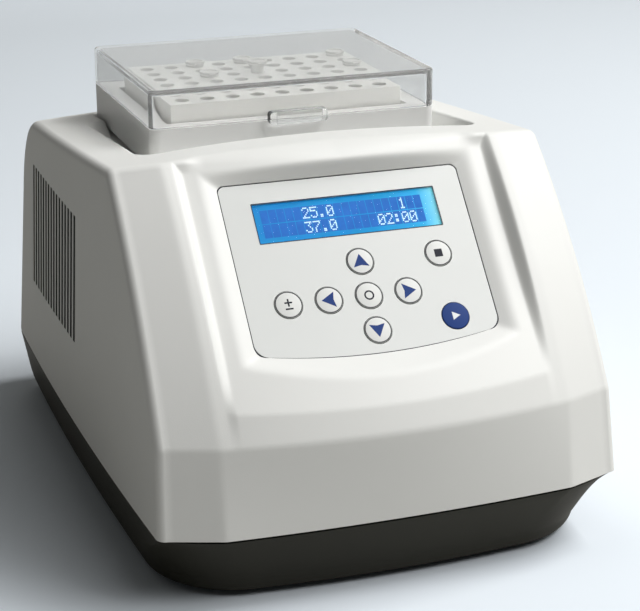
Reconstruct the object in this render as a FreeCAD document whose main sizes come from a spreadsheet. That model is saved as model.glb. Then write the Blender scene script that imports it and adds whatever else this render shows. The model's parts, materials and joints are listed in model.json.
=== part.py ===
import FreeCAD, Part
import Sketcher
import math
import os
import re

# Dry bath incubator: a bench instrument that heats and cools a drilled block of small tubes.
# Millimetres. X points right, -Y to the front, +Z up. The origin is under the middle, on the bench.

doc = FreeCAD.newDocument("dry_bath_incubator")
V = FreeCAD.Vector

# Driving sizes
SIZES = [
    # housing outline
    ("body_width", 212.4),
    ("body_depth", 298),
    ("seam_height", 33),
    ("foot_height", 3),
    ("shell_wall", 2.6),
    ("side_draft", 2.8),
    ("side_bulge", 3.4),
    ("band_height", 37.5),
    ("band_lean", 1),
    ("seam_bulge", 3.2),
    ("crease_bulge", 8.5),
    ("lower_slope", 62),
    ("fascia_half", 68),
    ("groove_width", 5),
    ("ridge_half", 77.5),
    ("flank_sweep", 20.5),
    ("fascia_rise", 6),
    ("fascia_bulge", 4.5),
    ("ridge_rise", 4),
    ("ridge_sag", 5),
    ("top_height", 171.7),
    ("top_setback", 89),
    ("top_slope", 5.4),
    ("crown_radius", 1130),
    ("brow_radius", 18),
    ("ridge_radius", 6),
    ("rear_lean", 7.5),
    ("rear_radius", 48),
    ("edge_radius", 4),
    ("rear_edge_radius", 16),
    # lower shell
    ("base_taper", 4.4),
    ("base_front_taper", 9.5),
    ("base_corner", 42),
    ("base_edge", 6),
    ("base_edge_inset", 4),
    ("base_floor", 3),
    ("supply_post_diameter", 6),
    ("supply_pilot_depth", 7),
    ("foot_boss_diameter", 8),
    ("foot_boss_height", 7),
    ("foot_pilot_depth", 6),
    ("head_recess", 3),
    # front panel
    ("panel_tilt", 48.3),
    ("panel_setback", 70.5),
    ("panel_height", 143.8),
    ("overlay_half", 54.5),
    ("overlay_top", 18.7),
    ("overlay_corner_drop", 59.5),
    ("overlay_centre_drop", 64),
    ("overlay_thickness", 1),
    ("overlay_clearance", 0.3),
    ("overlay_top_corner", 3),
    ("overlay_bottom_corner", 5.5),
    ("bevel_side_angle", 21),
    ("bevel_top_angle", 50),
    ("bevel_bottom_angle", 27.5),
    ("panel_wall", 2.4),
    ("window_width", 83),
    ("window_height", 18.6),
    ("window_gap", 0.2),
    ("window_wall_gap", 0.5),
    ("key_diameter", 12),
    ("key_clearance", 0.35),
    ("key_rise", 0.4),
    ("key_flange", 1.3),
    ("key_slack", 0.15),
    ("key_flange_thickness", 1.2),
    ("key_stem_diameter", 5),
    ("key_stem_length", 0.6),
    ("key_edge_radius", 0.3),
    ("switch_side", 6),
    ("switch_thickness", 3.4),
    ("switch_plunger", 3.4),
    ("plunger_length", 0.7),
    ("cross_pitch", 17.9),
    ("set_drop", 38),
    ("cross_height", 15.9),
    ("stop_drop", 22.4),
    ("start_drop", 51.9),
    ("outer_key_x", 35.8),
    ("board_gap", 6.6),
    ("board_thickness", 1.6),
    ("board_width", 104),
    ("board_height", 42),
    ("board_drop", 40),
    ("board_hole", 3),
    ("board_post_diameter", 5.4),
    ("board_pilot", 2.8),
    ("board_pilot_depth", 5.4),
    ("board_screw_diameter", 2.2),
    ("board_screw_head", 5.2),
    ("board_screw_head_height", 1.8),
    ("board_screw_reach", 5),
    ("board_post_x", 48),
    ("board_post_up", 17),
    ("display_width", 116),
    ("display_height", 37),
    ("display_depth", 6),
    ("display_play", 0.2),
    ("bezel_side", 7),
    ("bezel_top", 3),
    ("glass_play", 0.1),
    ("display_post_x", 54.5),
    ("display_post_up", 15.5),
    # lid and collar
    ("collar_y", 41),
    ("rim_height", 171),
    ("lid_width", 136.2),
    ("lid_depth", 106.4),
    ("lid_height", 17.5),
    ("lid_wall", 2.8),
    ("lid_corner", 4.5),
    ("lid_gap", 0.2),
    ("grip_width", 28.6),
    ("grip_height", 7.6),
    ("grip_depth", 5),
    ("grip_below", 2),
    ("grip_step", 0.4),
    ("hinge_offset", 34),
    ("hinge_back", 4.2),
    ("hinge_pin_diameter", 3),
    ("hinge_pin_gap", 0.2),
    ("hinge_plate", 1),
    ("hinge_arm_rise", 0.4),
    ("hinge_knuckle_diameter", 5.8),
    ("hinge_lug_width", 5.6),
    ("hinge_ear_width", 2.6),
    ("hinge_side_gap", 0.3),
    ("hinge_foot", 8),
    ("lid_edge_radius", 1.2),
    ("collar_height", 17.3),
    ("collar_wall", 3),
    ("collar_gap", 1),
    ("recess_drop", 2.2),
    ("skirt_wall", 2.5),
    ("trough_half", 77),
    ("trough_draft", 11),
    ("trough_front", 74),
    ("trough_front_arch", 5),
    ("trough_rear", 19),
    ("trough_rear_slope", 27),
    ("trough_corner", 6),
    # drilled block
    ("block_width", 111),
    ("block_depth", 75.5),
    ("block_height", 49.5),
    ("block_rise", 8),
    ("block_forward", 3),
    ("block_gap", 2.5),
    ("well_columns", 9),
    ("well_rows", 6),
    ("well_pitch", 12),
    ("well_diameter", 6.8),
    ("well_depth", 27),
    ("sensor_diameter", 3.4),
    ("sensor_gap", 0.3),
    ("sensor_depth", 20),
    ("sensor_height", 5),
    # heat pump
    ("spreader_thickness", 6),
    ("spreader_inset", 0.8),
    ("foam_gap", 0.2),
    ("foam_drop", 6),
    ("module_side", 40),
    ("module_thickness", 3.8),
    ("module_spacing", 50),
    ("sink_width", 144),
    ("sink_depth", 108),
    ("sink_plate", 8),
    ("fin_height", 34),
    ("fin_thickness", 1.4),
    ("fin_pitch", 5.3),
    ("fin_count", 20),
    ("post_inset", 5.5),
    ("post_diameter", 8),
    ("fan_side", 80),
    ("fan_thickness", 25),
    ("fan_bore", 76),
    ("fan_tip_gap", 1.5),
    ("hub_diameter", 32),
    ("blade_count", 7),
    ("blade_thickness", 1.6),
    ("blade_chord", 19),
    ("fan_hole_spacing", 71.5),
    ("rotor_gap", 0.6),
    ("blade_root_angle", 52),
    ("blade_tip_angle", 28),
    ("fan_bolt_diameter", 3.6),
    ("fan_bolt_head", 6.4),
    ("fan_bolt_head_height", 2),
    ("hub_height", 18),
    ("strut_width", 4),
    ("strut_height", 3),
    ("fan_hole_diameter", 4.4),
    ("cutout_width", 14),
    ("cutout_depth", 9),
    ("cutout_height", 4),
    ("cutout_inset", 0.9),
    # vents
    ("slot_count", 16),
    ("slot_pitch", 6.2),
    ("slot_width", 3),
    ("slot_height", 60),
    ("slot_bottom", 72),
    ("slots_behind_collar", 6.5),
    # rear panel
    ("rear_plate_width", 112),
    ("rear_plate_height", 54),
    ("rear_plate_thickness", 2),
    ("rear_plate_bottom", 44),
    ("rear_plate_lap", 4),
    ("rear_plate_setback", 12),
    ("rear_frame_depth", 20),
    ("cutout_gap", 0.3),
    ("inlet_x", 27),
    ("inlet_width", 27.2),
    ("inlet_height", 19.8),
    ("inlet_depth", 22),
    ("inlet_flange_width", 48),
    ("inlet_flange_height", 24),
    ("flange_thickness", 2.4),
    ("socket_depth", 16),
    ("socket_wall", 1.5),
    ("contact_thickness", 2),
    ("contact_height", 4),
    ("contact_spacing", 7),
    ("contact_setback", 2),
    ("contact_drop", 1.5),
    ("earth_rise", 2.5),
    ("switch_x", 26),
    ("switch_width", 13),
    ("switch_height", 19.2),
    ("switch_depth", 16),
    ("switch_flange", 2),
    ("switch_wall", 1),
    ("rocker_gap", 0.4),
    ("rocker_diameter", 16.4),
    ("rocker_setback", 3),
    ("rocker_rise", 1.8),
    ("rocker_angle", 10),
    ("fuse_x", -6),
    ("fuse_diameter", 12),
    ("fuse_cap_diameter", 15),
    ("fuse_cap_depth", 4),
    ("fuse_length", 24),
    ("coin_slot_width", 10),
    ("coin_slot_height", 1.4),
    ("coin_slot_depth", 1),
    # power supply
    ("supply_width", 110),
    ("supply_depth", 62),
    ("supply_y", 78),
    ("supply_rise", 8),
    ("supply_post_x", 50),
    ("supply_post_y", 26),
    ("supply_bolt_length", 7),
    ("supply_bolt_head_height", 2),
    ("winding_width", 24),
    ("winding_depth", 30),
    ("winding_height", 22),
    ("winding_x", 4),
    ("core_width", 34),
    ("core_depth", 14),
    ("core_height", 18),
    ("core_rise", 2),
    ("can_diameter", 16),
    ("can_height", 27),
    ("can_x", 36),
    ("can_spacing", 26),
    ("small_can_diameter", 10),
    ("small_can_height", 18),
    ("small_can_x", 40),
    ("small_can_spacing", 20),
    ("cooler_width", 44),
    ("cooler_height", 24),
    ("cooler_thickness", 2.5),
    ("left_cooler_x", 20),
    ("right_cooler_x", 27),
    # feet and screws
    ("foot_x", 74),
    ("foot_front", 100),
    ("foot_rear", 108),
    ("foot_diameter", 15),
    ("foot_web", 1.2),
    ("foot_bolt_head_height", 1.4),
    ("foot_bolt_length", 6),
    ("boss_diameter", 9),
    ("boss_x", 88),
    ("boss_front", 84),
    ("boss_rear", 112),
    ("boss_top", 104),
    ("boss_roof", 4),
    ("rib_thickness", 2.2),
    ("screw_diameter", 3.5),
    ("screw_head", 6.5),
    ("screw_gap", 0.3),
    ("case_bolt_head_height", 2.4),
    ("case_bolt_length", 45),
    ("floor_slots", 11),
    ("floor_slot_length", 60),
    ("floor_slot_pitch", 6.2),
    # tubes standing in the block
    ("tube_gap", 0.3),
    ("tube_stem_length", 20),
    ("tube_point_length", 6),
    ("tube_point_diameter", 2.4),
    ("tube_cap_diameter", 9.4),
    ("tube_cap_height", 2.4),
]

# Sizes worked out from the driving ones
PLACES = [
    ("half_depth", "body_depth / 2"),
    ("panel_y", "panel_setback - half_depth"),
    ("crease_height", "seam_height + band_height"),
    ("shell_top_y", "top_setback - half_depth"),
    ("collar_bottom", "rim_height - collar_height"),
    ("recess_floor", "collar_bottom - recess_drop"),
    ("collar_rear", "collar_y + lid_depth / 2"),
    ("collar_front", "collar_y - lid_depth / 2"),
    ("lid_bottom", "rim_height + lid_gap"),
    ("hinge_y", "collar_rear + hinge_back"),
    ("block_y", "collar_y - block_forward"),
    ("block_top", "rim_height + block_rise"),
    ("block_bottom", "block_top - block_height"),
    ("column_run", "(well_columns - 1) * well_pitch"),
    ("row_run", "(well_rows - 1) * well_pitch"),
    ("skirt_width", "block_width + 2 * block_gap + 2 * skirt_wall"),
    ("skirt_depth", "block_depth + 2 * block_gap + 2 * skirt_wall"),
    ("neck_width", "skirt_width + 2 * collar_gap"),
    ("neck_depth", "skirt_depth + 2 * collar_gap"),
    ("well_mouth_width", "block_width + 2 * block_gap"),
    ("well_mouth_depth", "block_depth + 2 * block_gap"),
    ("spreader_bottom", "block_bottom - spreader_thickness"),
    ("sink_top", "spreader_bottom - module_thickness"),
    ("fin_top", "sink_top - sink_plate"),
    ("fin_bottom", "fin_top - fin_height"),
    ("fin_run", "(fin_count - 1) * fin_pitch"),
    ("fan_bottom", "fin_bottom - fan_thickness"),
    ("post_x", "sink_width / 2 - post_inset"),
    ("post_y", "sink_depth / 2 - post_inset"),
    ("shelf_bottom", "recess_floor - shell_wall"),
    ("post_height", "shelf_bottom - sink_top"),
    ("key_hole", "key_diameter + 2 * key_clearance"),
    ("flange_diameter", "key_hole + 2 * key_flange"),
    ("panel_back", "overlay_thickness + panel_wall"),
    ("board_top", "panel_back + board_gap"),
    ("board_middle", "-board_drop"),
    ("slot_run", "(slot_count - 1) * slot_pitch"),
    ("slot_y", "collar_y + slots_behind_collar"),
    ("floor_top", "foot_height + base_floor"),
    ("rear_plate_y", "half_depth - rear_plate_setback"),
    ("rear_plate_middle", "rear_plate_bottom + rear_plate_height / 2"),
    ("supply_bottom", "floor_top + supply_rise"),
    ("grip_bottom", "rim_height - grip_below"),
]

size_names = [name for name, value in SIZES]
place_names = [name for name, formula in PLACES]


def linked(formula):
    """The formula with each size's name pointing at its cell."""
    def point(found):
        word = found.group(0)
        if word in size_names:
            return "sizes." + word
        if word in place_names:
            return "places." + word
        return word
    return re.sub(r"[A-Za-z_]+", point, formula)


sizes = doc.addObject("Spreadsheet::Sheet", "sizes")
for row, (name, value) in enumerate(SIZES, start=1):
    sizes.set("A%d" % row, name)
    sizes.set("B%d" % row, str(value))
    sizes.setAlias("B%d" % row, name)
doc.recompute()
places = doc.addObject("Spreadsheet::Sheet", "places")
for row, (name, formula) in enumerate(PLACES, start=1):
    places.setAlias("B%d" % row, name)
for row, (name, formula) in enumerate(PLACES, start=1):
    places.set("A%d" % row, name)
    places.set("B%d" % row, "=" + linked(formula).replace("places.", ""))
doc.recompute()


def size(name):
    """The number that a cell holds."""
    sheet = sizes if name in size_names else places
    return float(sheet.get(name))


nodes = []


def node(label, item):
    """Name a finished sub-part, so that it is checked and written."""
    item.Label = label
    nodes.append(item)
    return item


def bind(item, **formulas):
    """Bind properties to formulas; Base and Turn stand for the placement's parts."""
    for name, formula in formulas.items():
        item.setExpression(name.replace("__", "."), linked(formula))
    return item


def place(item, x, y, z):
    bind(item, Placement__Base__x=x, Placement__Base__y=y, Placement__Base__z=z)
    return item


def box(name, width, depth, height, x="0", y="0", z="0"):
    """A block centred on x and y, standing on z."""
    item = doc.addObject("Part::Box", name)
    bind(item, Length=width, Width=depth, Height=height)
    return place(item, "%s - (%s) / 2" % (x, width), "%s - (%s) / 2" % (y, depth), z)


AXES = {"z": V(0, 0, 1), "x": V(0, 1, 0), "y": V(-1, 0, 0)}


def cylinder(name, diameter, length, x="0", y="0", z="0", axis="z"):
    """A round bar from the point x, y, z along an axis."""
    item = doc.addObject("Part::Cylinder", name)
    bind(item, Radius="(%s) / 2" % diameter, Height=length)
    if axis != "z":
        item.Placement = FreeCAD.Placement(V(), FreeCAD.Rotation(AXES[axis], 90))
    return place(item, x, y, z)


def on_panel(item, x, up, out):
    """Tilt a primitive into the panel's frame: x across, up the slope, out along its normal."""
    item.Placement = FreeCAD.Placement(V(), FreeCAD.Rotation(V(1, 0, 0), size("panel_tilt")))
    item.setExpression("Placement.Rotation.Angle", "sizes.panel_tilt")
    y = "panel_y + (%s) * cos(panel_tilt) - (%s) * sin(panel_tilt)" % (up, out)
    z = "panel_height + (%s) * sin(panel_tilt) + (%s) * cos(panel_tilt)" % (up, out)
    return place(item, x, y, z)


def panel_box(name, width, height, thickness, x, up, out):
    item = doc.addObject("Part::Box", name)
    bind(item, Length=width, Width=height, Height=thickness)
    return on_panel(item, "%s - (%s) / 2" % (x, width), "%s - (%s) / 2" % (up, height), out)


def panel_cylinder(name, diameter, length, x, up, out):
    item = doc.addObject("Part::Cylinder", name)
    bind(item, Radius="(%s) / 2" % diameter, Height=length)
    return on_panel(item, x, up, out)


def cut(name, base, *tools):
    item = doc.addObject("Part::Cut", name)
    item.Base = base
    item.Tool = tools[0] if len(tools) == 1 else fuse(name + "_tools", *tools)
    return item


def fuse(name, *parts):
    item = doc.addObject("Part::MultiFuse", name)
    item.Shapes = list(parts)
    return item


def group(name, parts):
    """Separate solids of one kind that share a node."""
    item = doc.addObject("Part::Compound", name)
    item.Links = list(parts)
    return item


def feature(name, shape):
    item = doc.addObject("Part::Feature", name)
    item.Shape = shape
    return item


# Sketches of the bodies that are drawn, padded and pocketed
def body(name, x="0", y="0", z="0"):
    item = doc.addObject("PartDesign::Body", name)
    return place(item, x, y, z)


def sketch(owner, name, plane="XY_Plane", out="0"):
    item = owner.newObject("Sketcher::SketchObject", name)
    origin = [part for part in owner.Origin.OriginFeatures if part.Role == plane][0]
    item.AttachmentSupport = (origin, [""])
    item.MapMode = "FlatFace"
    item.setExpression("AttachmentOffset.Base.z", linked(out))
    return item


def rectangle(item, width, height, x="0", y="0"):
    """A rectangle centred on x, y, each side bound to its size."""
    start = len(item.Geometry)
    half_x = 4.0
    half_y = 3.0
    corners = [V(-half_x, -half_y), V(half_x, -half_y), V(half_x, half_y), V(-half_x, half_y)]
    for step in range(4):
        item.addGeometry(Part.LineSegment(corners[step], corners[(step + 1) % 4]))
    for step in range(4):
        item.addConstraint(Sketcher.Constraint("Coincident", start + step, 2, start + (step + 1) % 4, 1))
        kind = "Horizontal" if step % 2 == 0 else "Vertical"
        item.addConstraint(Sketcher.Constraint(kind, start + step))
    sides = [
        ("DistanceX", start, 1, start, 2, width),
        ("DistanceY", start + 1, 1, start + 1, 2, height),
    ]
    for kind, first, end, second, other, formula in sides:
        number = item.addConstraint(Sketcher.Constraint(kind, first, end, second, other, 5.0))
        item.setExpression("Constraints[%d]" % number, linked(formula))
    left = "(%s) - (%s) / 2" % (x, width)
    low = "(%s) - (%s) / 2" % (y, height)
    for kind, formula in (("DistanceX", left), ("DistanceY", low)):
        number = item.addConstraint(Sketcher.Constraint(kind, -1, 1, start, 1, -5.0))
        item.setExpression("Constraints[%d]" % number, linked(formula))
    doc.recompute()


def circle(item, diameter, x="0", y="0"):
    number = item.addGeometry(Part.Circle(V(1, 1), V(0, 0, 1), 2.0))
    radius = item.addConstraint(Sketcher.Constraint("Radius", number, 2.0))
    item.setExpression("Constraints[%d]" % radius, linked("(%s) / 2" % diameter))
    for kind, formula in (("DistanceX", x), ("DistanceY", y)):
        row = item.addConstraint(Sketcher.Constraint(kind, -1, 1, number, 3, 1.0))
        item.setExpression("Constraints[%d]" % row, linked(formula))


def pad(owner, name, profile, length, down=False):
    item = owner.newObject("PartDesign::Pad", name)
    item.Profile = profile
    item.Reversed = down
    bind(item, Length=length)
    doc.recompute()
    return item


def pocket(owner, name, profile, length, up=False):
    """A pocket cut down from its sketch, or up; it must take material away."""
    before = owner.Shape.Volume
    item = owner.newObject("PartDesign::Pocket", name)
    item.Profile = profile
    item.Reversed = up
    bind(item, Length=length)
    doc.recompute()
    if owner.Shape.Volume >= before:
        raise RuntimeError(name + " cuts nothing")
    return item


def round_edges(owner, name, radius, wanted):
    """Fillet those edges of a body that the test wants."""
    base = owner.Tip
    picked = ["Edge%d" % (row + 1) for row, edge in enumerate(base.Shape.Edges) if wanted(edge)]
    item = owner.newObject("PartDesign::Fillet", name)
    item.Base = (base, picked)
    bind(item, Radius=radius)
    doc.recompute()
    return item


def upright(edge):
    """Whether an edge is a straight one along Z."""
    if len(edge.Vertexes) != 2 or edge.Curve.TypeId != "Part::GeomLine":
        return False
    run = edge.Vertexes[1].Point - edge.Vertexes[0].Point
    return abs(run.x) < 1e-4 and abs(run.y) < 1e-4


# Housing outline, as side profiles at several places across its width
tilt = math.radians(size("panel_tilt"))
half_depth = size("half_depth")
# How far a cutting tool reaches past what it cuts
past = 5.0
panel_y = size("panel_y")
panel_z = size("panel_height")
seam_z = size("seam_height")
wall = size("shell_wall")
ridge_x = size("ridge_half")


def plane_point(up, out):
    """A point of the side profile, from the panel's own directions."""
    y = panel_y + up * math.cos(tilt) - out * math.sin(tilt)
    z = panel_z + up * math.sin(tilt) + out * math.cos(tilt)
    return (y, z)


def meet(first, angle, second, other):
    """Where two straight lines of the side profile meet."""
    u = (math.cos(angle), math.sin(angle))
    v = (math.cos(other), math.sin(other))
    gap = (second[0] - first[0], second[1] - first[1])
    run = (gap[0] * v[1] - gap[1] * v[0]) / (u[0] * v[1] - u[1] * v[0])
    return (first[0] + u[0] * run, first[1] + u[1] * run)


def bend(before, corner, after, radius):
    """Both ends and the middle of the arc that rounds a corner."""
    u = V(before[0] - corner[0], before[1] - corner[1], 0).normalize()
    v = V(after[0] - corner[0], after[1] - corner[1], 0).normalize()
    half = u.getAngle(v) / 2
    reach = radius / math.tan(half)
    centre = (u + v).normalize() * (radius / math.sin(half))
    middle = centre - (u + v).normalize() * radius
    start = u * reach
    end = v * reach
    return [(corner[0] + part.x, corner[1] + part.y) for part in (start, middle, end)]


def top_line(x, inset):
    """A point and the angle of the top's slope at a place across the width."""
    sag = x * x / (2 * size("crown_radius"))
    return (size("shell_top_y"), size("top_height") - sag - inset), -math.radians(size("top_slope"))


def arc_between(first, last, sag):
    """The middle point of a shallow arc between two points, bulging forward and up."""
    run = (last[0] - first[0], last[1] - first[1])
    length = math.hypot(*run)
    middle = ((first[0] + last[0]) / 2, (first[1] + last[1]) / 2)
    return (middle[0] - run[1] / length * sag, middle[1] + run[0] / length * sag)


def front_points(x, inset):
    """The front of the profile: seam, crease, step, middle of the slope, and top corner."""
    across = min(abs(x), ridge_x)
    share = (across / ridge_x) ** 2
    swept = (abs(x) - across) * math.tan(math.radians(size("flank_sweep")))
    seam = (-half_depth + size("seam_bulge") * share + swept + inset, seam_z)
    crease_y = -half_depth + size("band_lean") + size("crease_bulge") * share
    crease = (crease_y + swept + inset, size("crease_height") - inset / 3)
    top, slope = top_line(x, inset)
    fascia = size("fascia_half")
    if abs(x) <= fascia:
        if inset:
            out = -size("panel_back")
            band = math.atan2(crease[1] - seam[1], crease[0] - seam[0])
            crease = meet(seam, band, plane_point(0, out), tilt)
            step = (crease[0] + math.cos(tilt), crease[1] + math.sin(tilt))
        else:
            out = size("fascia_rise") - size("fascia_bulge") * (x / fascia) ** 2
            step = meet(crease, math.radians(size("lower_slope")), plane_point(0, out), tilt)
        corner = meet(step, tilt, top, slope)
        return seam, crease, step, None, corner
    corner = meet(plane_point(0, size("ridge_rise")), tilt, top, slope)
    corner = (corner[0] + swept + inset, corner[1])
    corner = meet(corner, math.pi / 2, top, slope)
    middle = arc_between(crease, corner, size("ridge_sag"))
    step = arc_between(crease, middle, size("ridge_sag") / 4)
    return seam, crease, step, middle, corner


def section(x, inset=0.0, bottom=None):
    """The closed side profile at a place across the width, as a wire in that plane."""
    seam, crease, step, middle, corner = front_points(x, inset)
    brow = size("brow_radius") if abs(x) <= size("fascia_half") else size("ridge_radius")
    share = min(abs(x) / size("fascia_half"), 1.0)
    if abs(x) <= size("fascia_half"):
        brow = brow + (size("ridge_radius") - brow) * share
    top, slope = top_line(x, inset)
    back = (half_depth - inset, seam_z)
    lean = math.pi / 2 + math.radians(size("rear_lean"))
    back_corner = meet(back, lean, top, slope)
    before = step if middle is None else middle
    arch = bend(before, corner, back_corner, brow)
    heel = bend(corner, back_corner, back, size("rear_radius") - inset)
    low = seam_z if bottom is None else bottom
    if bottom is not None:
        seam = (seam[0], low)
        back = (back[0], low)

    def at(point):
        return V(x, point[0], point[1])

    edges = [
        Part.LineSegment(at(seam), at(crease)),
        Part.LineSegment(at(crease), at(step)),
        Part.LineSegment(at(step), at(arch[0])),
        Part.Arc(at(arch[0]), at(arch[1]), at(arch[2])),
        Part.LineSegment(at(arch[2]), at(heel[0])),
        Part.Arc(at(heel[0]), at(heel[1]), at(heel[2])),
        Part.LineSegment(at(heel[2]), at(back)),
        Part.LineSegment(at(back), at(seam)),
    ]
    if middle is not None:
        edges[2] = Part.Arc(at(step), at(middle), at(arch[0]))
    return Part.Wire([edge.toShape() for edge in edges])


def side_wire(z, inset):
    """The plan outline at a height: two drafted, bulging sides and a leaning rear with round corners."""
    half = size("body_width") / 2 - inset - (z - seam_z) * math.tan(math.radians(size("side_draft")))
    rear = half_depth - inset - (z - seam_z) * math.tan(math.radians(size("rear_lean")))
    corner = size("rear_edge_radius") - inset
    front = -half_depth - 4 * past

    def side(y):
        return half - size("side_bulge") * (y / half_depth) ** 2

    turn = rear - corner
    nip = corner * (1 - math.sqrt(0.5))
    edges = []
    for hand in (1, -1):
        line = [V(hand * side(y), y, z) for y in (front, (front + turn) / 2, turn)]
        bow = [V(hand * side(turn), turn, z), V(hand * (side(turn) - nip), rear - nip, z)]
        bow.append(V(hand * (side(turn) - corner), rear, z))
        if hand > 0:
            edges += [Part.Arc(*line), Part.Arc(*bow), Part.LineSegment(bow[2], V(corner - side(turn), rear, z))]
        else:
            edges += [Part.Arc(*bow[::-1]), Part.Arc(*line[::-1])]
    edges.append(Part.LineSegment(V(-side(front), front, z), V(side(front), front, z)))
    return Part.Wire([edge.toShape() for edge in edges])


def on_side(point):
    """Whether a point lies on one of the two sides."""
    half = size("body_width") / 2 - (point.z - seam_z) * math.tan(math.radians(size("side_draft")))
    return abs(abs(point.x) - half + size("side_bulge") * (point.y / half_depth) ** 2) < 0.3


def soft_sides(solid):
    """The full form with its side edges rounded, from the front seam over the top to the rear."""
    corner = size("rear_edge_radius")
    wanted = []
    for edge in solid.Edges:
        middle = edge.valueAt((edge.FirstParameter + edge.LastParameter) / 2)
        points = [middle] + [vertex.Point for vertex in edge.Vertexes]
        if middle.z > seam_z + 1 and middle.y < half_depth - 1.5 * corner and all(on_side(p) for p in points):
            wanted.append(edge)
    return solid.makeFillet(min(size("edge_radius"), size("ridge_radius") - 0.5), wanted)


def loft(wires, ruled):
    """A closed solid through wires, with its faces outwards."""
    solid = Part.makeLoft(wires, True, ruled).Solids[0]
    if solid.Volume < 0:
        solid.reverse()
    return solid


def shell_solid(inset=0.0, bottom=None):
    """The upper housing's full form: profiles lofted across, trimmed by its sides."""
    fascia = size("fascia_half")
    places_across = (-fascia, -fascia / 2, 0.0, fascia / 2, fascia)
    middle = loft([section(x, inset, bottom) for x in places_across], False)
    outer = size("body_width") / 2 + past
    flanks = []
    for hand in (-1, 1):
        steps = (fascia, fascia + size("groove_width"), ridge_x, outer)
        wires = [section(hand * x, inset, bottom) for x in steps]
        flanks.append(loft(wires, True))
    whole = middle.fuse(flanks)
    low = (seam_z if bottom is None else bottom) - past
    high = size("top_height") + 4 * past
    sides = loft([side_wire(low, inset), side_wire(high, inset)], True)
    return whole.common(sides)


def rounded_wire(z, half, front, arch, rear, corner):
    """A plan outline with round corners and a front edge that arches back in the middle."""
    cut_in = corner * (1 - math.sqrt(0.5))
    edges = []
    right = half - corner
    points = [
        ("arc", (-right, front), (0, front + arch), (right, front)),
        ("arc", (right, front), (half - cut_in, front + cut_in), (half, front + corner)),
        ("line", (half, front + corner), (half, rear - corner)),
        ("arc", (half, rear - corner), (half - cut_in, rear - cut_in), (right, rear)),
        ("line", (right, rear), (-right, rear)),
        ("arc", (-right, rear), (cut_in - half, rear - cut_in), (-half, rear - corner)),
        ("line", (-half, rear - corner), (-half, front + corner)),
        ("arc", (-half, front + corner), (cut_in - half, front + cut_in), (-right, front)),
    ]
    for kind, *ends in points:
        ends = [V(x, y, z) for x, y in ends]
        edge = Part.Arc(*ends) if kind == "arc" else Part.LineSegment(*ends)
        edges.append(edge.toShape())
    return Part.Wire(edges)


def block_at(width, depth, bottom, top, x=0.0, y=0.0):
    return Part.makeBox(width, depth, top - bottom, V(x - width / 2, y - depth / 2, bottom))


def bar_at(diameter, length, x, y, z, direction=V(0, 0, 1)):
    return Part.makeCylinder(diameter / 2, length, V(x, y, z), direction)


def tray_recess(grow):
    """The sunk place round the collar: its footprint, and finger room beside and before it."""
    floor = size("recess_floor") - grow
    sky = size("top_height") + 4 * past
    gap = size("collar_gap") + grow
    y = size("collar_y")
    half = size("lid_width") / 2 + gap
    reach = size("lid_depth") / 2 + gap
    corner = size("lid_corner") + gap
    low = rounded_wire(floor, half, y - reach, 0.01, y + reach, corner)
    foot = Part.Face(low).extrude(V(0, 0, sky - floor))
    rise = 20.0
    lean = rise * math.tan(math.radians(size("trough_draft")))
    back = rise / math.tan(math.radians(size("trough_rear_slope")))
    wide = size("trough_half") + grow
    front = y - size("trough_front") - grow
    rear = y + size("trough_rear") + grow
    arch = size("trough_front_arch")
    wires = [
        rounded_wire(floor, wide, front, arch, rear, size("trough_corner")),
        rounded_wire(floor + rise, wide + lean, front - lean, arch, rear + back, size("trough_corner") + lean),
    ]
    return foot.fuse(loft(wires, True))


def panel_frame(shape):
    """Move a shape made flat, on the panel's own axes, into its tilted place."""
    moved = shape.copy()
    turn = FreeCAD.Rotation(V(1, 0, 0), size("panel_tilt"))
    moved.Placement = FreeCAD.Placement(V(0, panel_y, panel_z), turn)
    return moved


def overlay_wire(out, side, top, bottom, corner_grow):
    """The overlay's outline, spread to each side, with its bowed lower edge."""
    half = size("overlay_half") + side
    high = size("overlay_top") + top
    shoulder = -size("overlay_corner_drop") - bottom
    middle = -size("overlay_centre_drop") - bottom
    upper = size("overlay_top_corner") + corner_grow
    lower = size("overlay_bottom_corner") + corner_grow
    nip = 1 - math.sqrt(0.5)
    bow = shoulder + (middle - shoulder) * (lower / half)
    points = [
        ("line", (upper - half, high), (half - upper, high)),
        ("arc", (half - upper, high), (half - nip * upper, high - nip * upper), (half, high - upper)),
        ("line", (half, high - upper), (half, shoulder + lower)),
        ("arc", (half, shoulder + lower), (half - nip * lower, shoulder + nip * lower), (half - lower, bow)),
        ("arc", (half - lower, bow), (0, middle), (lower - half, bow)),
        ("arc", (lower - half, bow), (nip * lower - half, shoulder + nip * lower), (-half, shoulder + lower)),
        ("line", (-half, shoulder + lower), (-half, high - upper)),
        ("arc", (-half, high - upper), (nip * upper - half, high - nip * upper), (upper - half, high)),
    ]
    edges = []
    for kind, *ends in points:
        ends = [V(x, y, out) for x, y in ends]
        edge = Part.Arc(*ends) if kind == "arc" else Part.LineSegment(*ends)
        edges.append(edge.toShape())
    return Part.Wire(edges)


KEYS = [
    ("key_up", "0", "-set_drop + cross_height"),
    ("key_down", "0", "-set_drop - cross_height"),
    ("key_left", "-cross_pitch", "-set_drop"),
    ("key_right", "cross_pitch", "-set_drop"),
    ("key_set", "0", "-set_drop"),
    ("key_adjust", "-outer_key_x", "-set_drop"),
    ("key_stop", "outer_key_x", "-stop_drop"),
    ("key_start", "outer_key_x", "-start_drop"),
]


def key_spot(across, up):
    """A key's place on the panel as numbers."""
    def amount(formula):
        total = 0.0
        for sign, word in re.findall(r"([+-]?)\s*([a-z_]+)", formula):
            total += (-1 if sign == "-" else 1) * size(word)
        return total
    return amount(across), amount(up)


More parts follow.
